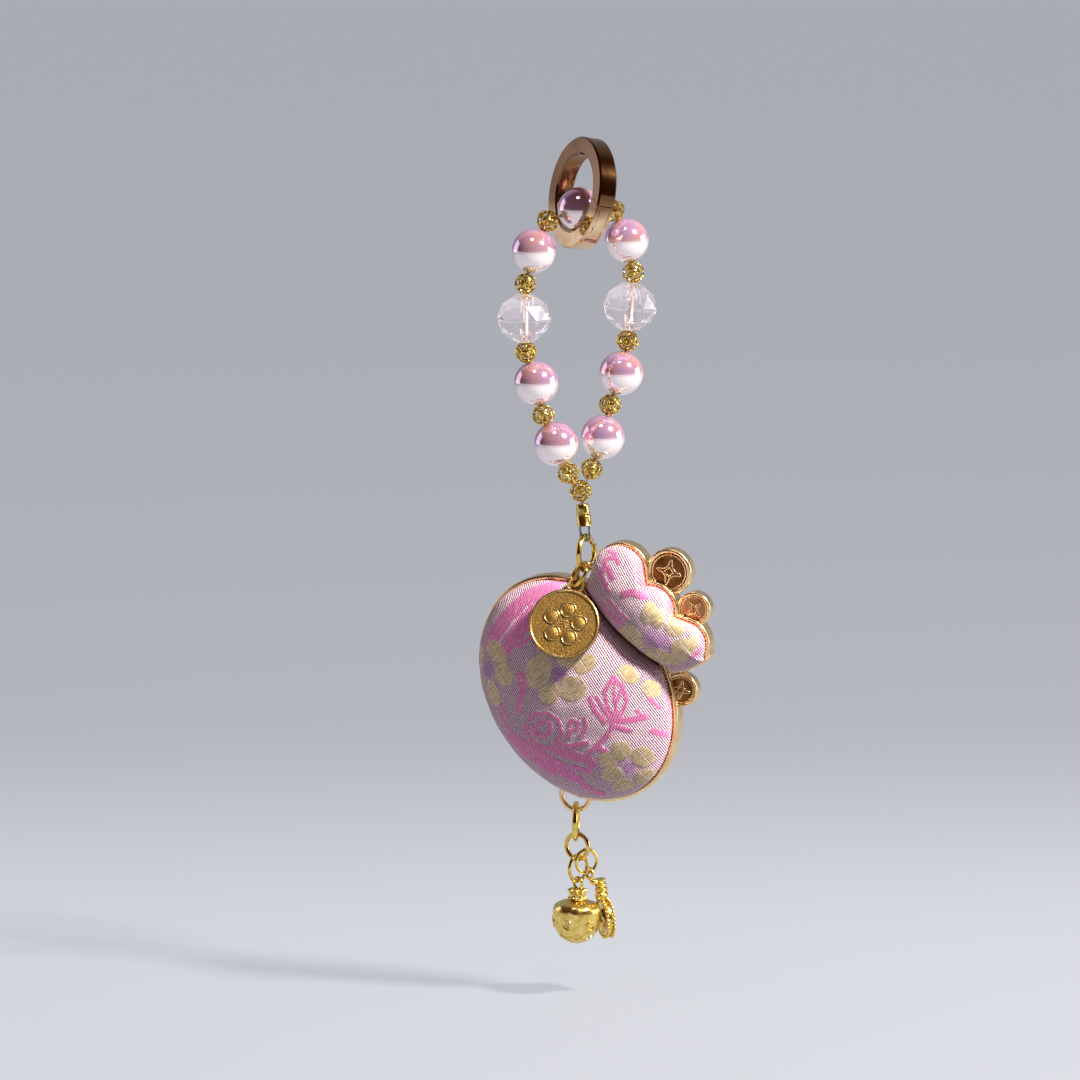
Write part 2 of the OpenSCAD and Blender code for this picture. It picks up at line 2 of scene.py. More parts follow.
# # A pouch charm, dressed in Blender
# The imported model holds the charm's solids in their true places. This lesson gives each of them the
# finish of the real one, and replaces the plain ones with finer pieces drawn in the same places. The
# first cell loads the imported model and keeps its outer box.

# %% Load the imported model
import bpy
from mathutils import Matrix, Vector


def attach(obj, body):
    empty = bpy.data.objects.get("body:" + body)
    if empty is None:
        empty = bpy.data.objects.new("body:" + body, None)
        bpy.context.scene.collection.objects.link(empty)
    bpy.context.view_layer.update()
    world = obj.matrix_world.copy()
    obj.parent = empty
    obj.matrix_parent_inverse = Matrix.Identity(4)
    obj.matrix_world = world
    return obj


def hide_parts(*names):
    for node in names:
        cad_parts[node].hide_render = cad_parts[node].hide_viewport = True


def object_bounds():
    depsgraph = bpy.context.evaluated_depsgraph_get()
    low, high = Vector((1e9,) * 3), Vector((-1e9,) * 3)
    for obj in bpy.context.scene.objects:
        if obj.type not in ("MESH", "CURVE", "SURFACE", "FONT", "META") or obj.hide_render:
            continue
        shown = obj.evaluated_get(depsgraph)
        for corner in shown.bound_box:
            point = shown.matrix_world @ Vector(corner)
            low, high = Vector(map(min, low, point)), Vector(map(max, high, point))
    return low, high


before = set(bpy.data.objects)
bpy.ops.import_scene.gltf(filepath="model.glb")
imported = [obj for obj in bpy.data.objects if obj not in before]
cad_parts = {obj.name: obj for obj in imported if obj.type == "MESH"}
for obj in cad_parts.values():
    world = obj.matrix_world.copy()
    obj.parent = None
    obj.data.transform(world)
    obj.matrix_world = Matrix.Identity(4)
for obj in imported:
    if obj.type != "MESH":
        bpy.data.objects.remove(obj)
cad_box = [list(corner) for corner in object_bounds()]

import math

import bmesh
import bpy
import numpy as np
from mathutils import Matrix, Vector, noise
from mathutils.kdtree import KDTree

# %% [markdown]
# ## Drawing in millimetres
# Jewellery is measured in millimetres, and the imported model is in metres. Each piece is drawn in
# millimetres about its own middle, then a placement matrix puts it where the part has it, and one last
# scale makes it metres. The object itself stays at the origin, so a pattern on Object coordinates sits
# still.

# %% Helpers for places
MM = 0.001
UP = Vector((0, 0, 1))


def turned(axis, degrees):
    """A turn about one of the axes."""
    return Matrix.Rotation(math.radians(degrees), 4, axis)


def moved(*place):
    """A move by (x, y, z)."""
    return Matrix.Translation(Vector(place[0] if len(place) == 1 else place))


def stretched(*sizes):
    """A stretch by a factor for each axis, or by one for all three."""
    return Matrix.Diagonal((*(sizes if len(sizes) == 3 else sizes * 3), 1))


def aim(direction):
    """The turn that lays +Z along a direction."""
    v = Vector(direction).normalized()
    return turned("Z", math.degrees(math.atan2(v.y, v.x))) @ turned("Y", math.degrees(math.acos(v.z)))


def facing(degrees):
    """A level direction, counted from -Y towards +X."""
    a = math.radians(degrees)
    return Vector((math.sin(a), -math.cos(a), 0))


def spoke(a):
    """A level direction at an angle in radians, counted from +X."""
    return Vector((math.cos(a), math.sin(a), 0))


print("a turn of 90 about Z takes +X to", tuple(round(c) for c in turned("Z", 90) @ Vector((1, 0, 0))))


# %% Helpers for shapes
def rim_of(shape):
    """The edges along a shape's open borders."""
    return [e for e in shape.edges if e.is_boundary]


def new_object(name, mesh, finish):
    """An object at the origin with one material."""
    mesh.materials.append(finish)
    piece = bpy.data.objects.new(name, mesh)
    bpy.context.collection.objects.link(piece)
    return piece


def make_piece(name, shape, body, finish, place=Matrix(), stands_for=(), crease=35):
    """Puts a shape drawn in millimetres in its place, in metres, and hangs it on a body."""
    bmesh.ops.transform(shape, matrix=Matrix.Scale(MM, 4) @ place, verts=shape.verts)
    bmesh.ops.recalc_face_normals(shape, faces=shape.faces)
    mesh = bpy.data.meshes.new(name)
    shape.to_mesh(mesh)
    shape.free()
    mesh.shade_smooth()
    mesh.set_sharp_from_angle(angle=math.radians(crease))
    piece = new_object(name, mesh, finish)
    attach(piece, body)
    if stands_for:
        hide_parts(*stands_for)
    print(name, len(mesh.polygons), "faces")
    return piece


def lathe(profile, steps=64):
    """Spins a line of (radius, height) points about Z. One that ends where it starts makes a closed ring."""
    shape = bmesh.new()
    closed = profile[0] == profile[-1]
    row = [shape.verts.new((r, 0, z)) for r, z in (profile[:-1] if closed else profile)]
    line = [shape.edges.new(pair) for pair in zip(row, row[1:])]
    if closed:
        line.append(shape.edges.new((row[-1], row[0])))
    bmesh.ops.spin(shape, geom=row + line, cent=(0, 0, 0), axis=(0, 0, 1), angle=math.tau, steps=steps,
                   use_merge=True)
    bmesh.ops.remove_doubles(shape, verts=shape.verts, dist=1e-4)
    bmesh.ops.dissolve_degenerate(shape, dist=1e-5, edges=shape.edges)
    return shape


def hoop(mid, wire, steps=72, sides=16, sweep=360):
    """A ring of round wire about Z, by the radius to the wire's middle. Under 360, its cut has flat ends."""
    shape = bmesh.new()
    around = moved(mid, 0, 0) @ turned("X", 90)
    bmesh.ops.create_circle(shape, segments=sides, radius=wire / 2, matrix=around)
    section = shape.verts[:] + shape.edges[:]
    bmesh.ops.spin(shape, geom=section, axis=(0, 0, 1), angle=math.radians(sweep), steps=steps,
                   use_merge=sweep == 360)
    if sweep == 360:
        bmesh.ops.remove_doubles(shape, verts=shape.verts, dist=1e-4)
    else:
        bmesh.ops.holes_fill(shape, edges=rim_of(shape), sides=0)
    return shape


def as_mesh(shape):
    """Keeps a shape as a mesh that can be copied many times."""
    mesh = bpy.data.meshes.new("copied")
    shape.to_mesh(mesh)
    shape.free()
    return mesh


def add_copy(target, mesh, place=Matrix()):
    """Adds one more copy of a small mesh to a shape."""
    mesh.transform(place)
    target.from_mesh(mesh)
    mesh.transform(place.inverted())


def swept_wire(paths, radius, closed=False, sides=2):
    """Round wire along lines of points, as one shape."""
    curve = bpy.data.curves.new("wire", "CURVE")
    curve.dimensions = "3D"
    curve.bevel_depth = radius
    curve.bevel_resolution = sides
    curve.use_fill_caps = not closed
    for path in paths:
        spline = curve.splines.new("POLY")
        spline.points.add(len(path) - 1)
        for spot, point in zip(spline.points, path):
            spot.co = (*point, 1)
        spline.use_cyclic_u = closed
    drawn = bpy.data.objects.new("wire", curve)
    bpy.context.collection.objects.link(drawn)
    mesh = bpy.data.meshes.new_from_object(drawn.evaluated_get(bpy.context.evaluated_depsgraph_get()))
    shape = bmesh.new()
    shape.from_mesh(mesh)
    bpy.data.objects.remove(drawn)
    bpy.data.curves.remove(curve)
    bpy.data.meshes.remove(mesh)
    return shape


grain_shape = bmesh.new()
bmesh.ops.create_uvsphere(grain_shape, u_segments=8, v_segments=5, radius=1)
grain = as_mesh(grain_shape)
print("one cast grain:", len(grain.polygons), "faces")

# %% [markdown]
# ## The studio
# The charm hangs in the air a hand's width above a pale floor. The photograph was taken with a long lens,
# turned a little to the right of the bag's front and looking a little down, so a 300 mm lens two metres
# away gives nearly parallel lines. The floor is pale lilac under the charm and goes over into a soft
# grey-blue behind it.

# %% Camera
AZIMUTH, ELEVATION = 20, 8
IMAGE_SIDE = 242.7                       # millimetres of the scene that the square picture takes in
PICTURE_MIDDLE = (-10.83, -86.02, -12)   # millimetres right, up and forward of the hanging point
LENS, SENSOR = 300, 36
side = spoke(math.radians(AZIMUTH))
towards = facing(AZIMUTH) * math.cos(math.radians(ELEVATION)) + UP * math.sin(math.radians(ELEVATION))
upward = towards.cross(side)
view_axes = Matrix((side, upward, towards)).transposed()
middle = view_axes @ Vector(PICTURE_MIDDLE) * MM
camera_data = bpy.data.cameras.new("camera")
camera_data.lens, camera_data.sensor_width = LENS, SENSOR
camera_data.clip_end = 50
camera = bpy.data.objects.new("camera", camera_data)
bpy.context.collection.objects.link(camera)
away = IMAGE_SIDE * LENS / SENSOR * MM
camera.matrix_world = moved(middle + towards * away) @ view_axes.to_4x4()
bpy.context.scene.camera = camera
bpy.context.scene.view_settings.view_transform = "Standard"
print("camera at", tuple(round(c, 3) for c in camera.matrix_world.translation))


# %% Node helpers
def paint(colour):
    """A screen colour such as #d9b25a as Blender's linear colour."""
    parts = [int(colour[i:i + 2], 16) / 255 for i in (1, 3, 5)]
    return (*[c / 12.92 if c <= 0.04045 else ((c + 0.055) / 1.055) ** 2.4 for c in parts], 1)


def feed(tree, socket, value):
    """Links another node's socket to this one, or sets it to a plain value."""
    if isinstance(value, bpy.types.NodeSocket):
        tree.links.new(value, socket)
    else:
        socket.default_value = value


def add_node(tree, kind, inputs=None, **settings):
    """Adds a shader node and feeds its inputs."""
    node = tree.nodes.new("ShaderNode" + kind)
    for key, value in settings.items():
        setattr(node, key, value)
    for key, value in (inputs or {}).items():
        feed(tree, node.inputs[key], value)
    return node


def calculate(tree, operation, *values):
    """The result of one sum."""
    return add_node(tree, "Math", dict(enumerate(values)), operation=operation).outputs[0]


def ramp(tree, value, low=0.0, high=1.0, to_low=0.0, to_high=1.0, **settings):
    """A value carried from one range to another."""
    inputs = dict(enumerate((value, low, high, to_low, to_high)))
    return add_node(tree, "MapRange", inputs, **settings).outputs[0]


def blend_colours(tree, share, first, second):
    """The first colour where the share is 0, the second where it is 1. Colours may be written as #d9b25a."""
    node = add_node(tree, "Mix", {0: share}, data_type="RGBA")
    for socket, colour in ((node.inputs[6], first), (node.inputs[7], second)):
        feed(tree, socket, paint(colour) if isinstance(colour, str) else colour)
    return node.outputs[2]


def object_place(tree):
    """Where a point lies on its object, in metres."""
    return add_node(tree, "TexCoord").outputs["Object"]


def new_finish(name, **constants):
    """A material with a Principled BSDF whose plain values are given here."""
    finish = bpy.data.materials.new(name)
    finish.use_nodes = True
    tree = finish.node_tree
    tree.nodes.clear()
    shader = tree.nodes.new("ShaderNodeBsdfPrincipled")
    out = tree.nodes.new("ShaderNodeOutputMaterial")
    tree.links.new(shader.outputs[0], out.inputs[0])
    for key, value in constants.items():
        shader.inputs[key.replace("_", " ")].default_value = value
    return finish, tree, shader


def dress(tree, shader, colour, rough, height=None, deep=0.0):
    """Feeds a finish its colour and roughness, and a height as relief of so many millimetres."""
    feed(tree, shader.inputs["Base Color"], colour)
    feed(tree, shader.inputs["Roughness"], rough)
    if height is not None:
        bump = add_node(tree, "Bump", {"Strength": 1.0, "Distance": deep * MM, "Height": height})
        tree.links.new(bump.outputs[0], shader.inputs["Normal"])


print("gold as a linear colour:", tuple(round(c, 3) for c in paint("#d9b25a")))

# %% Floor
floor_low = cad_box[0][2] - 0.012
floor_shape = bmesh.new()
bmesh.ops.create_circle(floor_shape, cap_ends=True, segments=96, radius=9,
                        matrix=moved(middle.x, middle.y, floor_low))
floor_mesh = bpy.data.meshes.new("floor")
floor_shape.to_mesh(floor_mesh)
floor_shape.free()
floor_finish, tree, shader = new_finish("floor", Specular_IOR_Level=0.1, Emission_Strength=1.0)
behind = add_node(tree, "VectorMath", {0: object_place(tree), 1: facing(AZIMUTH)}, operation="DOT_PRODUCT")
far = ramp(tree, behind.outputs["Value"], -0.05, -0.42, interpolation_type="SMOOTHSTEP")
dress(tree, shader, blend_colours(tree, far, "#48494e", "#3c3d42"), 0.8)
tree.links.new(blend_colours(tree, far, "#bcbfc6", "#a6a8b0"), shader.inputs["Emission Color"])
new_object("floor", floor_mesh, floor_finish)
print("floor at", round(floor_low, 4))


# %% Lights
def softbox(name, across, up, near, distance, size, power, colour="#ffffff"):
    """A square area light in a direction given as seen from the camera, turned to the charm."""
    direction = (side * across + upward * up + towards * near).normalized()
    lamp = bpy.data.lights.new(name, "AREA")
    lamp.size, lamp.energy, lamp.color = size, power, paint(colour)[:3]
    light = bpy.data.objects.new(name, lamp)
    bpy.context.collection.objects.link(light)
    facing_charm = direction.to_track_quat("Z", "Y").to_matrix().to_4x4()
    light.matrix_world = moved(middle + direction * distance) @ facing_charm
    print(name, power, "W")


softbox("key", 0.62, 0.68, 0.46, 0.9, 0.12, 29, "#fff8ee")
softbox("window_left", -0.9, 0.3, -0.3, 1.0, 0.6, 1.4, "#f2f4ff")
softbox("strip", -0.12, 0.88, 0.45, 1.0, 0.16, 1.2)
softbox("side_right", 1.0, 0.1, -0.1, 1.1, 0.6, 5)

world = bpy.data.worlds.new("studio")
bpy.context.scene.world = world
world.use_nodes = True
tree = world.node_tree
looking = add_node(tree, "TexCoord").outputs["Generated"]
ahead = add_node(tree, "VectorMath", {0: looking, 1: towards}, operation="DOT_PRODUCT").outputs["Value"]
dark_side = ramp(tree, ahead, -0.5, 0.05, interpolation_type="SMOOTHSTEP")
backdrop = tree.nodes["Background"]
tree.links.new(blend_colours(tree, dark_side, "#c8cbd6", "#643c30"), backdrop.inputs["Color"])
backdrop.inputs["Strength"].default_value = 0.52

# %% [markdown]
# ## Shared effects
# Metal is never quite even: polish leaves faint cloudy marks and cast metal a fine grain. Two node groups
# give those to every metal here. One puts out a cloudy mask, the other parallel ribs for the woven
# pieces. Each is built once, and each material sets its own size and strength.


# %% Node groups
def new_group(name, inputs, output):
    """A shader node group with named number or vector inputs and one value."""
    group = bpy.data.node_groups.new(name, "ShaderNodeTree")
    for label, value in inputs.items():
        kind = "NodeSocketVector" if value is None else "NodeSocketFloat"
        socket = group.interface.new_socket(label, in_out="INPUT", socket_type=kind)
        if value is not None:
            socket.default_value = value
    group.interface.new_socket(output, in_out="OUTPUT", socket_type="NodeSocketFloat")
    return group, group.nodes.new("NodeGroupInput").outputs, group.nodes.new("NodeGroupOutput").inputs[0]


def use_group(tree, group, **values):
    """Places a node group in a material with its own values."""
    node = tree.nodes.new("ShaderNodeGroup")
    node.node_tree = group
    for key, value in values.items():
        feed(tree, node.inputs[key], value)
    return node.outputs[0]


def turned_threads(tree, place, angle):
    """A place on the cloth, turned so that the threads run along X."""
    node = add_node(tree, "VectorRotate", {"Vector": place, "Angle": angle}, rotation_type="Z_AXIS")
    return node.outputs[0]


cloudy, given, result = new_group("cloudy_marks", {"Size": 1.0, "Low": 0.35, "High": 0.65}, "Mask")
scale = calculate(cloudy, "DIVIDE", 1.0 / MM, given["Size"])
spots = add_node(cloudy, "TexNoise", {"Vector": object_place(cloudy), "Scale": scale, "Detail": 3.0})
cloudy.links.new(ramp(cloudy, spots.outputs["Fac"], given["Low"], given["High"]), result)

ribs, given, result = new_group("ribs", {"Vector": None, "Pitch": 0.65, "Turn": 0.0}, "Rib")
across = add_node(ribs, "SeparateXYZ", {0: turned_threads(ribs, given["Vector"], given["Turn"])}).outputs["Y"]
wave = calculate(ribs, "MULTIPLY", calculate(ribs, "DIVIDE", across, given["Pitch"]), math.tau)
ribs.links.new(ramp(ribs, calculate(ribs, "SINE", wave), -1.0, 1.0), result)
print("node groups:", [group.name for group in bpy.data.node_groups])

# %% [markdown]
# ## Metals, pearl, crystal and thread
# The ring is polished rose gold, the frame a cast and softly polished gold, the tag antiqued and
# sandblasted, and the little drops bright. They are one recipe with other colours, so a function makes
# them all. A pearl is half metal and half lacquer: its colour is painted white below, a painted reflection
# of the floor, and rosy with a violet cloud above.


# %% Metals
def metal(name, face, shade, rough, marks=1.6, grain=0.25, relief=0.0, painted_dark_top=None):
    """A metal whose colour and gloss drift with cloudy marks, with a fine grain, its relief in millimetres.

    The painted dark top gives the height over which the metal is painted darker, a painted dark reflection,
    and the colour painted there."""
    finish, tree, shader = new_finish(name, Metallic=1.0)
    cloud = use_group(tree, cloudy, Size=marks, Low=0.3, High=0.7)
    colour = blend_colours(tree, cloud, face, shade)
    # Above a height the colour is painted darker: a painted dark reflection.
    if painted_dark_top:
        height = add_node(tree, "SeparateXYZ", {0: object_place(tree)}).outputs["Z"]
        above = ramp(tree, height, (painted_dark_top[0] - 1.5) * MM, (painted_dark_top[0] + 1.5) * MM)
        colour = blend_colours(tree, above, colour, painted_dark_top[1])
    gloss = ramp(tree, cloud, to_low=rough, to_high=rough * 1.6 + 0.03)
    dress(tree, shader, colour, gloss, use_group(tree, cloudy, Size=grain, Low=0.2, High=0.8), relief)
    return finish


# The ring's top is painted darker above -12.5 mm, a painted dark reflection. Its large, strong cloudy marks
# are partly polish marks and partly painted reflections.
rose_gold = metal("rose_gold", "#f8d8ae", "#bf9064", 0.07, marks=7.0, relief=0.0002, painted_dark_top=(-12.5, "#85603f"))
bright_gold = metal("bright_gold", "#f5db78", "#d4aa48", 0.10, marks=2.0, relief=0.0004)
cast_gold = metal("cast_gold", "#f6dcae", "#e6c288", 0.19, marks=3.0, grain=0.4, relief=0.0012)
copper = metal("copper_wash", "#c98a5e", "#9a5a34", 0.16, marks=2.5, relief=0.0008)
umber = metal("umber_wash", "#94602f", "#5c3618", 0.18, marks=2.5, relief=0.0008)
antique_gold = metal("antique_gold", "#c09a55", "#74552a", 0.36, marks=0.5, grain=0.34, relief=0.075)
polished = metal("antique_polish", "#f2dca4", "#c9a560", 0.16, marks=1.5, relief=0.0008)
lantern_gold = metal("lantern_gold", "#f2dc84", "#b8923a", 0.13, marks=0.8, relief=0.0006)
drop_gold = metal("drop_gold", "#fae58c", "#dcb24c", 0.17, marks=1.2, grain=0.7, relief=0.022)
grey_wire = metal("grey_wire", "#a5a6ae", "#7e7f88", 0.22, relief=0.0006)
pin_steel = metal("pin_steel", "#c9a27e", "#8a6a52", 0.2, relief=0.0004)
print("materials:", len(bpy.data.materials))

# %% Pearl, crystal and thread
pearl_finish, tree, shader = new_finish(
    "pearl", Metallic=0.72, IOR=1.6, Coat_Weight=1.0, Coat_Roughness=0.03, Coat_IOR=1.55,
    Specular_Tint=paint("#fff2f8"), Coat_Tint=paint("#fffafc"))
cloud = use_group(tree, cloudy, Size=3.0, Low=0.3, High=0.7)
# The colour is painted white where the surface faces down, a painted reflection of the floor, and rosy above.
lies = add_node(tree, "SeparateXYZ", {0: add_node(tree, "NewGeometry").outputs["Normal"]}).outputs["Z"]
rosy = blend_colours(tree, cloud, "#eeb4ae", "#d2b0ea")
nacre_and_painted_floor_reflection = blend_colours(tree, ramp(tree, lies, -0.12, 0.2), "#fff8f5", rosy)
dress(tree, shader, nacre_and_painted_floor_reflection, ramp(tree, cloud, to_low=0.07, to_high=0.12))

# The faint emission is painted light: a glow that stands in for light caught inside the glass.
crystal_finish, tree, shader = new_finish(
    "crystal", IOR=1.54, Transmission_Weight=1.0, Emission_Color=paint("#fff4f7"), Emission_Strength=0.09)
cloud = use_group(tree, cloudy, Size=5.0, Low=0.3, High=0.7)
dress(tree, shader, blend_colours(tree, cloud, "#fdf8f9", "#f7e9ee"), ramp(tree, cloud, to_high=0.02))

thread_finish, tree, shader = new_finish("thread", Sheen_Weight=0.3, Specular_IOR_Level=0.35)
twist = use_group(tree, ribs, Vector=object_place(tree), Pitch=0.3 * MM, Turn=0.6)
dress(tree, shader, blend_colours(tree, twist, "#c98a5c", "#f3c9a4"), 0.5, twist, 0.05)
print("materials:", len(bpy.data.materials))

# %% [markdown]
# ## Where everything hangs
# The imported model's places come from a few measures: how far each bead lies from the last, how the crimps
# lean and how the bag's eye hangs in its jump ring. The same measures are worked through here, so that
# each finer piece lands on the solid it dresses.

# %% The bead loop
RING_BORE, RING_LEAN, RING_TURN, RING_PLAY = 17.4, 10, 44, 0.12
PEARL, BALL, CRYSTAL, CRYSTAL_HIGH = 10, 4.8, 12.9, 10.4
RING_AXIS = facing(-RING_TURN)
HALF = {"pearl": PEARL / 2, "ball": BALL / 2, "crystal": CRYSTAL_HIGH / 2}
BEAD_GAP = 0.1
LEFT = [("ball", 74.6, 0.8), ("pearl", 27.4, 0), ("ball", 15.9, 0), ("crystal", 2.9, 0), ("ball", -3.6, 0),
        ("pearl", -19.7, 0), ("ball", -13.4, 0), ("pearl", -25.6, 0), ("ball", -24.2, 0)]
RIGHT = [("ball", 85, 1.0), ("pearl", 25.5, 0), ("ball", 12.9, 0), ("crystal", -6.2, 0), ("ball", -4.4, 0),
         ("pearl", -12, 0), ("ball", -21.9, 0), ("pearl", -14.3, 0), ("ball", -21.5, 0)]
LOW_BALL = Vector((0.2, 4.5))            # how far the lowest ball hangs below the two above it


def on_loop(flat):
    """A point of the loop's upright plane: towards the ring's front, and up."""
    return RING_AXIS * flat.x + UP * flat.y


def strand(rows, direction, start):
    """The places of the beads on one side of the loop, from the top pearl down.

    Each row has a bead's kind, the lean of the thread above it and the length of thread that lies bare."""
    places, here, half = [], start, HALF["pearl"]
    for kind, lean, bare in rows:
        a = math.radians(lean)
        here = here + (half + HALF[kind] + BEAD_GAP + bare) * Vector((direction * math.sin(a), -math.cos(a)))
        half = HALF[kind]
        places.append(here)
    return places


lean = math.radians(RING_LEAN)
top_flat = (RING_BORE - PEARL / 2 - RING_PLAY) * Vector((math.sin(lean), -math.cos(lean)))
left_flat, right_flat = strand(LEFT, 1, top_flat), strand(RIGHT, -1, top_flat)
low_flat = (left_flat[-1] + right_flat[-1]) / 2 - LOW_BALL
top_at, low_at = on_loop(top_flat), on_loop(low_flat)
left_at, right_at = [on_loop(p) for p in left_flat], [on_loop(p) for p in right_flat]
print("top pearl", tuple(round(c, 2) for c in top_at), "lowest ball", tuple(round(c, 2) for c in low_at))


def beads(kind):
    """Each bead of a kind: its side and number, its row, and the middles of it and of its two neighbours."""
    for side_name, rows, places in (("left", LEFT, left_at), ("right", RIGHT, right_at)):
        route = [top_at] + places + [low_at]
        found = [i for i, row in enumerate(rows) if row[0] == kind]
        for number, i in enumerate(found, 1):
            yield f"{side_name}_{number}", i, (route[i + 1], route[i], route[i + 2])


# %% The crimps, the bag and the tag
TAIL_LEAN, LOOP_DOWN = 6.5, 11.2
CARRIER_MID, CARRIER_WIRE, LOOP_WIRE = 3.9, 1.2, 0.66
EYE_MID, EYE_WIRE, EYE_FLAT = 2.35, 1.5, Vector((1.9, 27.75, -0.9))
BAG_TURN, BAG_LEAN, BAG_SHIFT = 41.6, 2, -1.1
TAG_ON_BAG = Vector((-0.1, 17.9, 8.35))
tail = Vector((math.sin(math.radians(TAIL_LEAN)), 0, -math.cos(math.radians(TAIL_LEAN))))
loop_at = low_at + LOOP_DOWN * tail
carrier_at = loop_at + ((LOOP_WIRE + CARRIER_WIRE) / 2 + 0.09 - CARRIER_MID) * UP
bag_lean = turned("X", 90 + BAG_LEAN)
eye_top = carrier_at - (CARRIER_MID - (CARRIER_WIRE + EYE_WIRE) / 2 - 0.05) * UP
bag_at = eye_top - bag_lean @ (EYE_FLAT + Vector((0, EYE_MID, 0)))
on_bag = moved(bag_at) @ bag_lean                        # right, up and forward of the bag's middle
upright = on_bag @ turned("Z", -BAG_TURN) @ moved(BAG_SHIFT, 0, 0)
on_tag = moved(on_bag @ TAG_ON_BAG) @ turned("Z", 12) @ turned("X", 68) @ turned("Z", -13.7)


def on_tail(along):
    """A place on the leaning line under the lowest ball."""
    return moved(low_at + along * tail) @ turned("Y", -TAIL_LEAN)


print("bag's middle", tuple(round(c, 2) for c in bag_at))

# %% [markdown]
# ## The bag's outlines
# The body is a turned oval with a hollow bite where the neck is, and the mouth is a fan with three
# scallops. Both are distances from a middle at each angle, so a point anywhere on the padding is a share
# of that distance.

# %% Outlines of the body and the mouth
BODY_MID, MOUTH_MID = Vector((-0.05, 1.35)), Vector((0, 27))
BODY_W, BODY_H, OVAL_TURN = 55, 43.2, 13.2
LOBES = [(-10.3, 1.9, 6.5), (0.5, 0, 6.6), (11.1, -0.2, 6.1)]       # middle and radius of each scallop
SIDES = [(198, 15.4), (-22, 16), (90, 2)]                           # way and distance of each straight side
FOOT_MID, FOOT_R = 32.9, 41.7
SOFT = 0.45                                                         # how softly one line runs into another
FRAME_DEEP, PLATE, RIM, MOUTH_RIM = 3.4, 1.2, 1.4, 1.1
FAR_OFF = 1000


def oval(a, inset):
    """Distance from the body's middle to its oval."""
    x, y, b = BODY_W / 2 - inset, BODY_H / 2 - inset, a + math.radians(OVAL_TURN)
    return x * y / math.hypot(y * math.cos(b), x * math.sin(b))


def circle_hit(a, cx, cy, r, sign):
    """Distance from the middle to a circle, its near side for -1 and its far side for 1."""
    along = cx * math.cos(a) + cy * math.sin(a)
    inside = along * along - (cx * cx + cy * cy - r * r)
    if inside <= 0 or (sign < 0 and along <= 0):
        return FAR_OFF if sign < 0 else 0
    return along + sign * math.sqrt(inside)


def body_edge(a, inset):
    """Distance from the body's middle to its outline, which ends along the mouth's foot."""
    foot = circle_hit(a, 0, MOUTH_MID.y + FOOT_MID - BODY_MID.y, FOOT_R + 0.6, -1)
    return -SOFT * math.log(sum(math.exp(-v / SOFT) for v in (oval(a, inset), foot)))


def mouth_edge(a, inset):
    """Distance from the mouth's middle to its scalloped outline."""
    fan = [circle_hit(a, 0, FOOT_MID, FOOT_R - inset, 1)]
    for direction, far in SIDES:
        away = math.cos(a - math.radians(direction))
        fan.append((far - inset) / away if away > 0.02 else FAR_OFF)
    parts = [min(fan)] + [circle_hit(a, cx, cy, r - inset, 1) for cx, cy, r in LOBES]
    return SOFT * math.log(sum(math.exp(v / SOFT) for v in parts))


def outline(mid, edge, inset, height, steps=300):
    """Points round the body or the mouth at an inset and a height."""
    points = []
    for i in range(steps):
        a = math.tau * i / steps
        r = edge(a, inset)
        points.append(Vector((mid.x + r * math.cos(a), mid.y + r * math.sin(a), height)))
    return points


print("mouth is", round(mouth_edge(0, 0) + mouth_edge(math.pi, 0), 1), "mm wide")

# %% [markdown]
# ## Brocade
# The cloth is a lilac satin twill. Plum blossoms are woven in dull gold and scrolls in bright pink, and
# those floats stand a little above the ground. The pattern belongs to the surface, so it is drawn on the
# padding itself: every point of the mesh knows how far it lies along the cloth, and a small chart says
# where the petals and scrolls lie. The chart's unit is a quarter of a millimetre.

# %% The brocade's material
TWILL, PICKS, PETALS, SCROLLS, PARTING = 55, -20, -38, -68, 57      # how each set of threads is turned
brocade, tree, shader = new_finish(
    "brocade", Sheen_Weight=0.35, Sheen_Roughness=0.4, Sheen_Tint=paint("#ffe9f4"), Specular_IOR_Level=0.45)
cloth = add_node(tree, "UVMap", uv_map="cloth").outputs[0]
motif = add_node(tree, "Attribute", attribute_name="motif")
masks = add_node(tree, "SeparateColor", {0: motif.outputs["Color"]}).outputs


def woven(pitch, turn):
    """Ribs of the weave, a pitch in millimetres apart."""
    return use_group(tree, ribs, Vector=cloth, Pitch=pitch, Turn=math.radians(turn))


def streaks(turn, long, fine):
    """Noise drawn out along one way of the cloth, like floating threads."""
    laid = turned_threads(tree, cloth, math.radians(turn))
    drawn = add_node(tree, "Mapping", {"Vector": laid, "Scale": (long, fine, 1)}).outputs[0]
    threads = add_node(tree, "TexNoise", {"Vector": drawn, "Scale": 1.0, "Detail": 2.0, "Roughness": 0.6})
    return ramp(tree, threads.outputs["Fac"], 0.3, 0.7)


def ragged(mask, threads, amount):
    """A woven edge: the mask is eaten into between the floats."""
    eaten = calculate(tree, "MULTIPLY_ADD", calculate(tree, "ADD", threads, -0.5), amount, mask)
    return ramp(tree, eaten, 0.36, 0.6)


def combine(*masks_and_shares):
    """Two masks multiplied, each thinned to its share."""
    thinned = [calculate(tree, "MULTIPLY_ADD", mask, share, 1 - share) for mask, share in masks_and_shares]
    return calculate(tree, "MULTIPLY", *thinned)


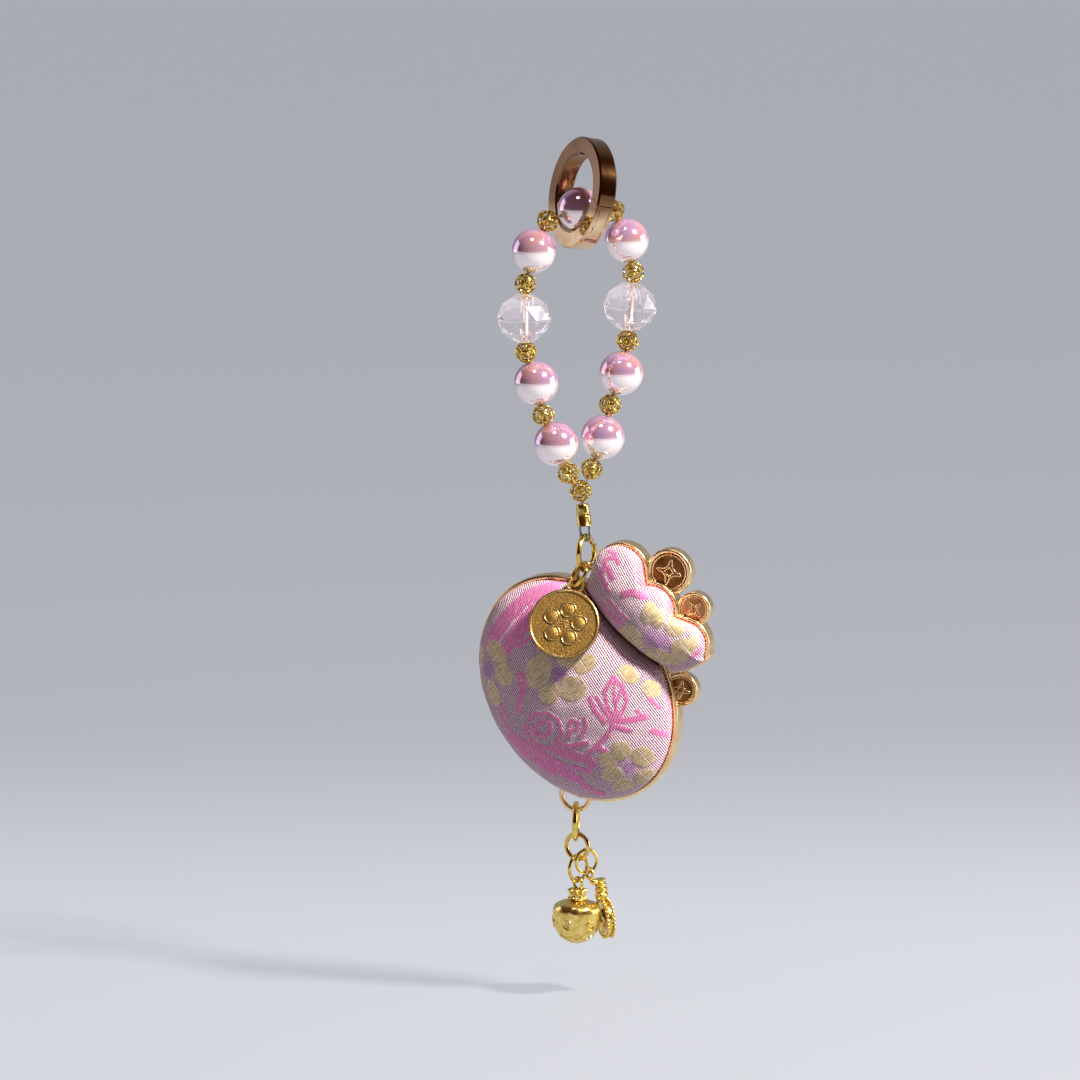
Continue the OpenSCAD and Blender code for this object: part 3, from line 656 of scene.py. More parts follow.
twill, scroll_ribs = woven(0.5, TWILL), woven(0.58, SCROLLS)
petal_floats, scroll_floats = streaks(PETALS, 0.4, 2.4), streaks(SCROLLS, 0.6, 2.0)
petal_threads = combine((petal_floats, 0.6), (woven(0.5, PETALS), 0.55))
scroll_threads = combine((scroll_floats, 0.6), (scroll_ribs, 0.6))
whole = ramp(tree, woven(3.1, PARTING), 0.0, 0.1)
gold_mask = combine((ragged(masks["Red"], petal_floats, 1.05), 1.0), (whole, 0.6))
pink_mask = combine((ragged(masks["Green"], scroll_floats, 1.1), 1.0), (scroll_ribs, 0.2))
plum_mask = ragged(masks["Blue"], scroll_floats, 1.3)
weft = combine((woven(0.6, PICKS), 0.3), (twill, 1.0))
ground = blend_colours(tree, weft, "#7f2f5a", "#f8e6ec")
for mask, threads, dark, light in ((plum_mask, twill, "#7c3f7c", "#cfa2cc"),
                                   (pink_mask, scroll_threads, "#a51f6c", "#f28cc6"),
                                   (gold_mask, petal_threads, "#6f4a20", "#f6e2b2")):
    ground = blend_colours(tree, mask, ground, blend_colours(tree, threads, dark, light))
raised = weft
for mask, threads in ((gold_mask, petal_threads), (pink_mask, scroll_threads)):
    raised = add_node(tree, "Mix", {0: mask, 2: raised, 3: threads}, data_type="FLOAT").outputs[0]
dress(tree, shader, ground, ramp(tree, twill, to_low=0.6, to_high=0.32), raised, 0.2)

lining, tree, shader = new_finish("lining", Sheen_Weight=0.3, Specular_IOR_Level=0.5)
cloud = use_group(tree, cloudy, Size=0.5, Low=0.3, High=0.7)
red = blend_colours(tree, cloud, "#d8443f", "#a32630")
dress(tree, shader, red, ramp(tree, cloud, to_low=0.35, to_high=0.5))
print("brocade:", len(brocade.node_tree.nodes), "nodes")

# %% The chart of petals and scrolls
CHART = 1 / 4.18, 1 / 4.384              # millimetres to a unit, across and up
# A petal: its middle, its two half widths and its turn. A scroll: its width and the points of its line.
BODY_GOLD = [
    (-82, 44, 14, 9, -38), (-75, 22, 12, 9, -62), (-85, 2, 13, 8, -75), (-98, 40, 11, 6, 80),
    (-98, 12, 10, 5, 75), (-40, 26, 18, 12, 65), (-29, 3, 11, 10, 40), (-6, 8, 14, 12, 10),
    (-8, 38, 13, 8, 10), (7, 33, 12, 8, 40), (42, -54, 10, 9, 30), (29, -64, 9, 8, 20), (34, -78, 10, 8, 10),
    (45, -89, 11, 7, 10), (66, -80, 11, 8, 30), (65, -61, 12, 10, -40), (50, 22, 11, 8, -35),
    (73, 8, 10, 8, -40)]
BODY_PLUM = [(-90, 27, 7, 8, 0), (-20, 22, 8, 7, 0), (51, -72, 6, 6, 0)]
BODY_PINK = [
    (15, [(-88, 52), (-72, 78), (-50, 100), (-26, 110)]), (12, [(-74, 44), (-58, 66), (-40, 86)]),
    (8, [(-66, -38), (-48, -52), (-30, -62)]), (9, [(-40, -62), (-20, -74), (0, -84)]),
    (7, [(-24, -52), (-6, -58), (10, -62)]), (5, [(-80, 62), (-62, 90), (-42, 108)]),
    (5, [(-72, 58), (-54, 82), (-36, 98), (-20, 108)]), (5, [(-66, 52), (-48, 70), (-34, 86)]),
    (4, [(-60, 50), (-46, 60), (-38, 70)]), (4, [(-86, 58), (-74, 78), (-58, 96)]),
    (6, [(-46, 104), (-30, 113), (-12, 114)]), (7, [(-58, 22), (-56, 6), (-60, -14)]),
    (4, [(-50, 24), (-54, 8)]), (4, [(34, 20), (26, 4), (30, -14), (40, -20), (48, -6), (44, 10), (34, 20)]),
    (3, [(35, 14), (36, -4), (38, -16)]), (3, [(42, 6), (38, -8)]), (5, [(12, -2), (16, -14), (26, -26)]),
    (4, [(18, 0), (24, -12), (32, -24)]), (5, [(34, -20), (32, -32), (24, -44), (14, -54)]),
    (6, [(34, -24), (48, -24), (66, -20)]), (5, [(38, -30), (52, -34)]), (3, [(58, -14), (66, -20)]),
    (4, [(-48, -24), (-42, -18), (-30, -17), (-20, -24), (-16, -36), (-22, -48)]),
    (5, [(-40, -28), (-34, -24), (-28, -28), (-28, -36), (-36, -40), (-44, -36), (-46, -30)]),
    (5, [(-52, -30), (-50, -42), (-40, -50), (-28, -54)]),
    (4, [(-10, -28), (-6, -24), (0, -26), (-2, -32), (-8, -34), (-10, -40)]),
    (4, [(6, -22), (8, -30), (2, -40)]), (4, [(-78, -8), (-70, -22)]),
    (4, [(-80, -16), (-74, -28), (-66, -38)]), (5, [(-72, -40), (-62, -50), (-50, -58)]),
    (4, [(-62, -46), (-50, -54), (-40, -60)]), (5, [(-56, -58), (-40, -68), (-24, -78)]),
    (6, [(-44, -54), (-30, -62), (-14, -70)]), (6, [(-30, -52), (-16, -58), (-2, -62), (12, -66)]),
    (5, [(-24, -46), (-8, -50), (8, -46)]), (6, [(-12, -74), (0, -82), (6, -92)]),
    (5, [(-6, -70), (10, -76), (14, -70)]), (7, [(8, -90), (16, -96), (24, -98)]),
    (5, [(10, -56), (20, -50), (28, -56)]), (5, [(0, -58), (10, -62), (18, -68)]),
    (4, [(70, -2), (80, -10)]), (6, [(74, -34), (90, -38)]), (3, [(88, 2), (92, -16)]),
    (4, [(22, -44), (30, -40)])]
MOUTH_GOLD = [
    (69, 84, 11, 7, 75), (79, 78, 10, 6, 70), (52, 60, 14, 11, -45), (80, 40, 14, 8, -15),
    (99, 38, 9, 7, 10), (102, 49, 11, 10, 0), (96, 70, 10, 9, -30), (114, 54, 9, 6, 60)]
MOUTH_PLUM = [(76, 58, 11, 7, -45), (86, 54, 8, 6, -45)]
MOUTH_PINK = [
    (5, [(24, 128), (28, 136), (36, 140)]), (6, [(22, 122), (30, 128), (34, 118)]),
    (4, [(30, 146), (38, 142), (40, 132)]), (4, [(24, 112), (30, 106)]),
    (7, [(44, 102), (54, 104), (66, 100)]), (5, [(24, 92), (32, 82), (42, 74)]),
    (4, [(28, 98), (36, 88), (48, 78)]), (5, [(20, 84), (30, 74), (40, 66)]), (3, [(90, 96), (98, 88)]),
    (4, [(112, 40), (122, 48)]), (3, [(126, 62), (130, 54)]), (4, [(26, 134), (24, 120), (28, 112)])]
print("chart:", len(BODY_GOLD + MOUTH_GOLD), "petals,", len(BODY_PINK + MOUTH_PINK), "scrolls")

# %% [markdown]
# ## Padding
# A padded cover is tight in the middle and turns down steeply at its rim. A square grid pressed into a
# round disc gives even small faces with no pole, and each ring of it is lifted along the pad's side view.
# The point where a petal belongs is looked up as the eye sees it in the picture, and its outline is then
# laid along the cloth.


# %% Padding
PLAY = 0.12                              # between the cloth and the rim


def pad_profile(size, puff, bulge=0.4, bulge_at=2.2, foot=PLATE - FRAME_DEEP + PLAY):
    """The padding's side view, from its crown to its foot: share of the outline's distance, and height."""
    fit = 1 - PLAY / size
    rows = []
    for t in np.linspace(90, 0, 61):
        a = math.radians(t)
        share = (1 + bulge / size) * math.cos(a) ** 0.85 if t < 90 else 0.0
        rows.append((share, bulge_at + (puff - bulge_at) * math.sin(a)))
    for t in (20, 40, 60, 75, 90):
        a = math.radians(t)
        share = fit + (1 + bulge / size - fit) * math.cos(a) ** 1.5
        rows.append((share, bulge_at - (bulge_at - 0.1) * math.sin(a)))
    return rows + [(fit, foot)]


def padding(mid, edge, centre_edge, size, puff, cells):
    """A crowned pad from a square grid pressed into a round disc, and where each point lies on its cloth."""
    rows = pad_profile(size, puff)
    along = [0.0]
    for (s0, h0), (s1, h1) in zip(rows, rows[1:]):
        along.append(along[-1] + math.hypot((s1 - s0) * size, h1 - h0))
    shares, heights = zip(*rows)
    shape = bmesh.new()
    bmesh.ops.create_grid(shape, x_segments=cells, y_segments=cells, size=1)
    cloth = []
    for v in shape.verts:
        x, y = v.co.x * math.sqrt(1 - v.co.y ** 2 / 2), v.co.y * math.sqrt(1 - v.co.x ** 2 / 2)
        a, far = math.atan2(y, x), min(1, math.hypot(x, y))
        s = float(np.interp(far * along[-1], along, shares))
        h = float(np.interp(far * along[-1], along, heights))
        even = min(1, s / (1 - PLAY / size)) ** 3
        r = s * (even * edge(a) + (1 - even) * centre_edge(a))
        v.co = Vector((mid.x + r * math.cos(a), mid.y + r * math.sin(a), h))
        flat = r + far * along[-1] - s * size
        cloth.append((mid.x + flat * math.cos(a), mid.y + flat * math.sin(a)))
    return shape, np.array(cloth)


def smooth_edge(edge, reach=40):
    """The outline with its scallops evened out, for the crown of a pad."""
    table = [edge(math.radians(d)) for d in range(360)]
    steps = range(-reach, reach + 1, 4)
    even = [sum(table[(d + k) % 360] for k in steps) / len(steps) for d in range(360)]
    return lambda a: float(np.interp(math.degrees(a) % 360, range(361), even + even[:1]))


print("the body's padding is", round(pad_profile(BODY_H / 2, 9)[0][1], 1), "mm high")


# %% The pattern on the padding
def petal(points, at, size, degrees):
    """How much each point lies in an oval petal."""
    a = math.radians(degrees)
    d = points - at
    x = d @ np.array((math.cos(a), math.sin(a))) / size[0]
    y = d @ np.array((-math.sin(a), math.cos(a))) / size[1]
    return np.clip((1 - np.hypot(x, y)) * min(size) / 0.3 + 0.5, 0, 1)


def scroll(points, line, width):
    """How much each point lies on a scroll's line."""
    nearest = np.full(len(points), 1e9)
    for start, end in zip(line, line[1:]):
        step = end - start
        share = np.clip(((points - start) @ step) / max(step @ step, 1e-9), 0, 1)
        nearest = np.minimum(nearest, np.linalg.norm(points - start - share[:, None] * step, axis=1))
    return np.clip((width / 2 - nearest) / 0.3 + 0.5, 0, 1)


def brocade_pad(name, shape, cloth, gold, plum, pink, node, relief=0.07):
    """Lays the cloth over a pad: its petals and scrolls, their relief, and the way along the cloth."""
    turn = turned("Z", -BAG_TURN) @ moved(BAG_SHIFT, 0, 0)
    flat = np.array([(turn @ Vector((x, y, 0)))[:2] for x, y in cloth])
    seen = KDTree(len(shape.verts))
    for i, v in enumerate(shape.verts):
        u = turn @ v.co
        if v.co.z > 2.2:                 # the steep sides are left out, and higher points look shifted
            seen.insert((u.x - 0.013 * u.y - 0.364 * u.z, u.y - 0.048 * u.x - 0.168 * u.z, 0), i)
    seen.balance()

    def on_cloth(x, y):
        return flat[seen.find((x * CHART[0], y * CHART[1], 0))[1]]

    masks = np.zeros((len(flat), 4))
    for column, rows in ((0, gold), (2, plum)):
        for x, y, long, short, degrees in rows:
            size = (long * CHART[0], short * CHART[0])
            masks[:, column] = np.maximum(masks[:, column], petal(flat, on_cloth(x, y), size, degrees))
    for width, line in pink:
        spots = [on_cloth(x, y) for x, y in line]
        masks[:, 1] = np.maximum(masks[:, 1], scroll(flat, spots, width * CHART[0]))
    masks[:, 3] = 1
    shape.normal_update()
    for v, mask in zip(list(shape.verts), masks):
        soft = noise.noise(v.co * 0.22) * 0.12
        v.co += v.normal * (relief * max(mask[0], mask[1]) + soft * min(1, max(0, v.co.z - 2) / 2))
    bmesh.ops.holes_fill(shape, edges=rim_of(shape), sides=0)
    laid = shape.loops.layers.uv.new("cloth")
    for face in shape.faces:
        for corner in face.loops:
            corner[laid].uv = flat[corner.vert.index] if corner.vert.index < len(flat) else (0, 0)
    pad = make_piece(name, shape, "pouch", brocade, upright, [node], crease=60)
    colours = pad.data.color_attributes.new("motif", "FLOAT_COLOR", "POINT")
    colours.data.foreach_set("color", masks.ravel())


BODY_CELLS, MOUTH_CELLS = ((230, 140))
rounded, crowned = lambda a: body_edge(a, RIM), lambda a: oval(a, RIM + 1.2)
shape, cloth = padding(BODY_MID, rounded, crowned, BODY_H / 2, 9, BODY_CELLS)
brocade_pad("body_brocade", shape, cloth, BODY_GOLD, BODY_PLUM, BODY_PINK, "body_pad")
scalloped = lambda a: mouth_edge(a, MOUTH_RIM)
shape, cloth = padding(MOUTH_MID, scalloped, smooth_edge(scalloped), 9, 7, MOUTH_CELLS)
brocade_pad("mouth_brocade", shape, cloth, MOUTH_GOLD, MOUTH_PLUM, MOUTH_PINK, "mouth_pad")

# %% [markdown]
# ## Finishes of the carried-over solids
# Most of the solids have the right shape already. Each gets the finish that the real one has, found by
# its name or by its kind, and the pieces that follow dress those that need more.

# %% Finishes of the solids
BY_NAME = {"ring_body": rose_gold, "ring_gate": rose_gold, "hinge_pin": pin_steel, "wire_loop": grey_wire,
           "bead_thread": thread_finish, "tag": antique_gold, "pouch_frame": cast_gold}
BY_KIND = {"pearl": pearl_finish, "crystal": crystal_finish, "ball": lantern_gold}
for name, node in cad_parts.items():
    finish = BY_NAME.get(name) or BY_KIND.get(name.split("_")[0], bright_gold)
    for place in node.material_slots:
        place.material = finish
    if not node.material_slots:
        node.data.materials.append(finish)
print(len(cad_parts), "solids have their finish")

# %% [markdown]
# ## Beads on the thread
# The thread bends at every bead, so a bead's two holes don't quite face each other. Each bead is drawn
# with its hole upright and then bent: a point near one end turns with that end of the thread, and the
# girdle stays.


# %% Pearls
def strung(shape, at, before, after):
    """Turns a bead onto the thread so that both ends of its hole point along it."""
    axis = (before - after).normalized()
    stand = aim(axis)
    first = axis.rotation_difference((before - at).normalized())
    last = axis.rotation_difference((at - after).normalized())
    for v in shape.verts:
        share = v.co.angle(UP) / math.pi if v.co.length > 1e-6 else 0.5
        v.co = at + first.slerp(last, share) @ (stand @ v.co)
    return shape


def sunk(shape):
    """Extrudes the open rims and gives the new points."""
    made = bmesh.ops.extrude_edge_only(shape, edges=rim_of(shape))["geom"]
    return [v for v in made if isinstance(v, bmesh.types.BMVert)]


def drilled_through(shape, radius, deep):
    """Sinks a narrow tube from the open rim at each pole and joins the two in the middle."""
    for v in {v for e in rim_of(shape) for v in e.verts}:
        v.co.xy *= radius / v.co.xy.length
    for v in sunk(shape):
        v.co.z *= deep
    bmesh.ops.bridge_loops(shape, edges=rim_of(shape))
    return shape


def pearl_shape():
    """A round bead, drilled through."""
    shape = bmesh.new()
    bmesh.ops.create_uvsphere(shape, u_segments=64, v_segments=44, radius=PEARL / 2)
    bmesh.ops.delete(shape, geom=[v for v in shape.verts if v.co.xy.length < 0.5], context="VERTS")
    return drilled_through(shape, 0.5, 0.7)


def bead(name, shape, spots, finish, node, crease=35):
    """One bead in its place on the thread."""
    make_piece(name, strung(shape, *spots), "strap", finish, stands_for=[node], crease=crease)


for label, _, spots in beads("pearl"):
    bead(f"pearl_bead_{label}", pearl_shape(), spots, pearl_finish, f"pearl_{label}")
bead("pearl_bead_top", pearl_shape(), (top_at, left_at[0], right_at[0]), pearl_finish, "pearl_top")


# %% Filigree balls
def filigree_shape():
    """A ball of wire scrolls: rows of oval loops that touch, a collar at each hole, and a core inside that
    stands in for the shade in the hollow.
    """
    shape = bmesh.new()
    loop = as_mesh(hoop(0.84, 0.56, steps=18, sides=8))
    far = BALL / 2 - 0.3
    for up, count, tilt, wide in ((0, 5, 30, 1.0), (52, 4, -30, 0.78), (-52, 4, 30, 0.78)):
        oval_wire = stretched(1.12 * wide, 0.94 * wide, 0.9)
        for k in range(count):
            place = turned("Z", 360 * (k + up / 104) / count) @ turned("Y", 90 - up) @ moved(0, 0, far)
            add_copy(shape, loop, place @ turned("Z", tilt) @ oval_wire)
    collar = as_mesh(hoop(0.78, 0.46, steps=18, sides=6))
    for end in (-1, 1):
        add_copy(shape, collar, moved(0, 0, end * (BALL / 2 - 0.24)))
    # The core is no part of a hollow ball: it is put inside so that the holes show dark, standing in for
    # shade.
    shade_standin_core = [(0.55, -1.1), (0.9, -0.95), (1.25, -0.5), (1.36, 0), (1.25, 0.5), (0.9, 0.95), (0.55, 1.1),
            (0.55, -1.1)]
    add_copy(shape, as_mesh(lathe(shade_standin_core, 20)))
    return shape


filigree = as_mesh(filigree_shape())


def lantern(label, spots, node, spin):
    """One filigree ball on the thread, turned a little further than the last."""
    shape = bmesh.new()
    add_copy(shape, filigree, turned("Z", spin))
    bead(f"lantern_{label}", shape, spots, lantern_gold, node)


for label, i, spots in beads("ball"):
    lantern(label, spots, f"ball_{label}", 23 * i)
lantern("low", (low_at, (left_at[-1] + right_at[-1]) / 2, low_at + tail), "ball_low", 15)

# %% [markdown]
# ## Crystals
# A cut bead is all flat faces, so it is built from five rows of eight corners, each row turned by half a
# step. Its edges get a hair of a bevel, because a ground edge always catches a thin line of light, and
# its hole is drilled right through, because it shows as a pale column in clear glass.


# %% Crystals
def crystal_shape():
    """A faceted bead: rows of corners, each turned half a step, with a table at each end and a hole."""
    rows = [(-1, 0.36), (-0.6, 0.78), (0, 1), (0.6, 0.78), (1, 0.36)]
    shape = bmesh.new()
    last = None
    for j, (high, wide) in enumerate(rows):
        corners = []
        for i in range(8):
            a, r = math.radians(45 * i - 22.5 * j), wide * CRYSTAL / 2
            corners.append(shape.verts.new((r * math.cos(a), r * math.sin(a), high * CRYSTAL_HIGH / 2)))
        if last:
            for i in range(8):
                shape.faces.new((last[i], last[(i + 1) % 8], corners[(i + 1) % 8]))
                shape.faces.new((last[i], corners[(i + 1) % 8], corners[i]))
        last = corners
    bmesh.ops.recalc_face_normals(shape, faces=shape.faces)
    bmesh.ops.bevel(shape, geom=[e for e in shape.edges if not e.is_boundary], offset=0.07, affect="EDGES",
                    segments=1, profile=0.5, material=-1)
    for v in sunk(shape):
        v.co.xy *= 0.62 / v.co.xy.length
    return drilled_through(shape, 0.55, 0.85)


for label, _, spots in beads("crystal"):
    name = "crystal_" + label.split("_")[0]
    bead("cut_" + name, crystal_shape(), spots, crystal_finish, name, 8)

# %% [markdown]
# ## Links
# Every jump ring is a hoop of round wire. The largest is open: a cut with flat ends shows at its back,
# and its two ends pass each other by a hair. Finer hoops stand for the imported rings, so that their
# highlights run smoothly.

# %% Jump rings
CHAIN = [(3.98, 1.25, 106), (2.9, 1.0, -13), (3.0, 0.8, 69), (2.7, 0.75, 50)]   # radius, wire, way it faces
CHAIN_PLAY = 0.05
BOTTOM_LOOP, BOTTOM_WIRE = Vector((-1.4, -23.1 - 3.4, -1.5)), 1.15
SIDE_LINK, DRUM_LINE = 44, 19            # degrees off the plumb line


def link(name, at, axis, mid, wire, body, node):
    """A closed jump ring."""
    make_piece(name, hoop(mid, wire), body, bright_gold, moved(at) @ aim(axis), [node])


def under(low, wire, i):
    """The middle of the next link, hanging in the one above."""
    return low + ((wire + CHAIN[i][1]) / 2 + CHAIN_PLAY - CHAIN[i][0]) * UP


def off_plumb(degrees, i):
    """A direction that lies so far off the plumb line, towards the side of a link."""
    a = math.radians(degrees)
    return math.sin(a) * spoke(math.radians(CHAIN[i][2])) - math.cos(a) * UP


chain_1 = under(on_bag @ BOTTOM_LOOP, BOTTOM_WIRE, 0)
chain_2 = under(chain_1 - CHAIN[0][0] * UP, CHAIN[0][1], 1) + Vector((0.3, 0, 0.04))
chain_3 = under(chain_2 - CHAIN[1][0] * UP, CHAIN[1][1], 2) + Vector((0.2, 0, 0))
beside = chain_2 + CHAIN[1][0] * off_plumb(SIDE_LINK, 1)
drop_line = off_plumb(DRUM_LINE, 3).normalized()
chain_4 = beside + (CHAIN[3][0] - (CHAIN[1][1] + CHAIN[3][1]) / 2 - 0.5) * drop_line + Vector((-0.1, 0.3, 0))
for number, at in enumerate((chain_1, chain_2, chain_3, chain_4)):
    mid, wire, turn = CHAIN[number]
    link(f"jump_ring_{number + 1}", at, facing(turn), mid, wire, "pouch", f"link_lower_{number + 1}")
tag_ring_at = carrier_at + Vector((-0.416, -3.564, -4.366))
link("tag_jump_ring", tag_ring_at, (0.65, 0.589, -0.48), 2.9, 0.85, "strap", "tag_ring")

shape = hoop(CARRIER_MID, CARRIER_WIRE, 80, 16, 352)
for v in shape.verts:
    v.co.z += 0.5 * ((math.atan2(v.co.y, v.co.x) % math.tau) / math.tau - 0.5)
make_piece("open_ring", shape, "strap", bright_gold,
           moved(carrier_at) @ aim(facing(85)) @ turned("Z", 120), ["link_upper"])

# %% [markdown]
# ## Crimps
# Two short collars close the threads under the lowest ball. Each is a lathe shape with a rolled bright
# rim at its foot, and the lower one is a cup, open towards the wire loop.

# %% Crimps
CRIMP_START, CRIMP_H, CUP_H = BALL / 2 + 0.5, 2.3, 2.6
CUP_START = CRIMP_START + CRIMP_H + 0.15
barrel = [(0.6, 0), (1.5, 0), (1.62, 0.06), (1.66, 0.17), (1.62, 0.28), (1.46, 0.38), (1.45, 1.15),
          (1.43, 2.0), (1.3, 2.24), (1.15, 2.3), (0.6, 2.3), (0.6, 0)]
cup = [(1.45, 0.02), (1.6, 0), (1.72, 0.08), (1.74, 0.17), (1.7, 0.3), (1.62, 0.4), (1.62, 2.3), (1.5, 2.54),
       (1.35, 2.6), (0.6, 2.6), (0.6, 2.2), (1.45, 2.2), (1.45, 0.02)]
for name, profile, foot, node in (("crimp_collar", barrel, CRIMP_START + CRIMP_H, "crimp_upper"),
                                  ("crimp_cup", cup, CUP_START + CUP_H, "crimp_lower")):
    make_piece(name, lathe(profile, 48), "strap", lantern_gold, on_tail(foot), [node], 50)

# %% [markdown]
# ## Rims of the bag
# The cast frame's rim has a smooth rounded outer moulding and a line of small grains inside it, and a
# narrow red lining shows between the grains and the cloth. The mouldings are round wire along the same
# outlines, and each grain is a small ball of a few dozen faces.


# %% Mouldings, grains and lining
def evenly(path, pitch, closed=False):
    """Points at equal steps along a line, each with the way that the line runs there."""
    line = path + path[:1] if closed else path
    far = [0.0]
    for a, b in zip(line, line[1:]):
        far.append(far[-1] + (b - a).length)
    count = max(2, round(far[-1] / pitch))
    spots, k = [], 0
    for i in range(count):
        want = far[-1] * (i + 0.5) / count
        while far[k + 1] < want:
            k += 1
        step = line[k + 1] - line[k]
        spots.append((line[k] + step * ((want - far[k]) / max(step.length, 1e-9)), step.normalized()))
    return spots


def open_border(inset, height, steps=320):
    """The body's oval from one corner of the mouth round to the other."""
    points = []
    for i in range(steps + 1):
        a = math.pi / 2 + math.tau * i / steps
        at = BODY_MID + oval(a, inset) * Vector((math.cos(a), math.sin(a)))
        off = at - MOUTH_MID
        if off.length > mouth_edge(math.atan2(off.y, off.x), 0) + 0.1:
            points.append(Vector((at.x, at.y, height)))
    return points


def cast_on(name, shape, place=upright, crease=60, finish=cast_gold):
    """A piece that is cast with the frame."""
    make_piece(name, shape, "pouch", finish, place, crease=crease)


def grains(name, path, pitch, radius, long, closed):
    """A row of cast grains along a line."""
    shape = bmesh.new()
    for at, way in evenly(path, pitch, closed):
        lay = Vector((1, 0, 0)).rotation_difference(way).to_matrix().to_4x4()
        add_copy(shape, grain, moved(at) @ lay @ stretched(radius * long, radius, radius))
    cast_on(name, shape, crease=180)


def mouth_line(inset, height):
    """The mouth's outline in fine steps."""
    return outline(MOUTH_MID, mouth_edge, inset, height, 420)


cast_on("body_moulding", swept_wire([open_border(0.6, -0.1)], 0.6, sides=5))
cast_on("mouth_moulding", swept_wire([mouth_line(0.46, -0.06)], 0.46, True, sides=5))
grains("body_grains", open_border(1.36, 0.14), 0.74, 0.3, 1.0, False)
grains("mouth_grains", mouth_line(1.02, 0.14), 0.95, 0.28, 1.5, True)
for name, line, radius in (("body_lining", outline(BODY_MID, body_edge, RIM + 0.1, 0.42), 0.26),
                           ("mouth_lining", mouth_line(MOUTH_RIM + 0.1, 0.4), 0.24)):
    make_piece(name, swept_wire([line], radius, True), "pouch", lining, upright, crease=60)

# %% [markdown]
# ## Coins behind the mouth
# The three cash coins are cast with the frame. Each gets a rounded rim and a raised four-pointed star
# with a square heart, drawn as wire that is half sunk in the coin's dish.

# %% Coins
COINS = [(-2.2, 36.25, 10.6), (7.6, 34, 7.8), (17.5, 17.9, 7.9)]    # middle and diameter
COIN_TOP = 2.4 - FRAME_DEEP


def star_line(across):
    """Points round a four-pointed star with hollow sides, on a coin of a diameter."""
    points = []
    for k in range(72):
        way = spoke(math.radians(k * 5))
        a = math.radians(k * 5) % (math.pi / 2)
        edge = min(0.28 / (math.cos(a) + math.sin(a)), circle_hit(a, 0.206, 0.206, 0.1736, -1))
        points.append(across * edge * way)
    return points


for number, (x, y, d) in enumerate(COINS):
    place = upright @ moved(x, y, COIN_TOP)
    wash, turn = (copper, 42) if number == 1 else (umber, -14)
    rims = hoop(d * 0.45, d * 0.1, 96, 14)
    add_copy(rims, as_mesh(hoop(d * 0.37, d * 0.035, 72, 8)), moved(0, 0, 0.12))
    cast_on(f"coin_rims_{number + 1}", rims, place @ moved(0, 0, -0.05))
    dish = lathe([(0, -0.2), (d * 0.41, -0.2), (d * 0.41, 0.03), (0, 0.03)], 64)
    cast_on(f"coin_dish_{number + 1}", dish, place, finish=wash)
    square = [Vector((px, py, 0)) * d * 0.1 for px, py in ((1, 0), (0, 1), (-1, 0), (0, -1))]
    cast_on(f"coin_star_{number + 1}", swept_wire([star_line(d), square], d * 0.017, True),
            place @ moved(0, 0, 0.06) @ turned("Z", BAG_TURN + turn))

# %% [markdown]
# ## The tag
# The tag is a small cast disc, sandblasted between a bright rounded rim and a raised plum blossom. The
# disc and the petals are lathe shapes, so their edges can be rounded as polishing rounds them.

# %% Tag
TAG_FACE = 0.5                           # height of the sandblasted field over the disc's middle
PETAL_AT, PETAL_TOP = 3.35, 0.62
shape = lathe([(0, -0.5), (7.8, -0.5), (7.97, -0.38), (8, -0.2), (8, 0.5), (7.94, 0.68), (7.8, 0.79),
               (7.62, 0.8), (7.45, 0.72), (7.36, 0.58), (7.3, TAG_FACE), (0, TAG_FACE)], 128)
ear = lathe([(1.2, -0.3), (1.3, -0.45), (1.85, -0.5), (2, -0.35), (2, 0.35), (1.85, 0.5), (1.3, 0.45),
             (1.2, 0.3), (1.2, -0.3)], 48)
add_copy(shape, as_mesh(ear), moved(0, 9.1, 0))
make_piece("tag_disc", shape, "strap", antique_gold, on_tag, ["tag"], crease=50)

petal_mesh = as_mesh(lathe([(0, 0.6), (1.5, 0.6), (1.7, 0.45), (1.2, 0.4), (0, 0.4)], 48))
petal_ring = as_mesh(hoop(1.68, 0.34, 48, 10))
petals, edges = bmesh.new(), bmesh.new()
for k in range(5):
    a = math.radians(90 + 72 * k)
    spot = moved(PETAL_AT * math.cos(a), PETAL_AT * math.sin(a), 0)
    add_copy(petals, petal_mesh, spot)
    add_copy(edges, petal_ring, spot @ moved(0, 0, PETAL_TOP))
for k in range(6):
    a = math.radians(60 * k)
    add_copy(edges, grain, moved(0.72 * math.cos(a), 0.72 * math.sin(a), 0.52) @ stretched(0.22, 0.22, 0.26))
add_copy(edges, grain, moved(0, 0, 0.52) @ stretched(0.3))
bright_rim = hoop(7.64, 0.44, 128, 12)
make_piece("tag_petals", petals, "strap", antique_gold, on_tag, crease=50)
make_piece("tag_petal_edges", edges, "strap", polished, on_tag, crease=50)
make_piece("tag_rim", bright_rim, "strap", polished, on_tag @ moved(0, 0, 0.64), crease=60)

# %% [markdown]
# ## The drops
# The two drops hang from small eyes: a round money bag with a gathered neck, and a thin drum with
# granulated rims under a ridged bail. Both are lathe shapes, and what the lathe can't give is pressed in
# afterwards: the pleats by moving points, the rings and grains by adding small copies.

# %% Bag drop
BELLY_DEEP, WIDEST, FLOWERS_AT, WAVE_AT = 10.1, 3.8, 5.2, 8.3       # depths below the drop's top
EYE_PLAY = 0.05


def drop_r(z):
    """Radius of the drop's belly at a depth below its top."""
    share, power = (1 - z / WIDEST, 4.2) if z < WIDEST else ((z - WIDEST) / 6.3, 2)
    return 5.5 * math.sqrt(max(0, 1 - share ** power))


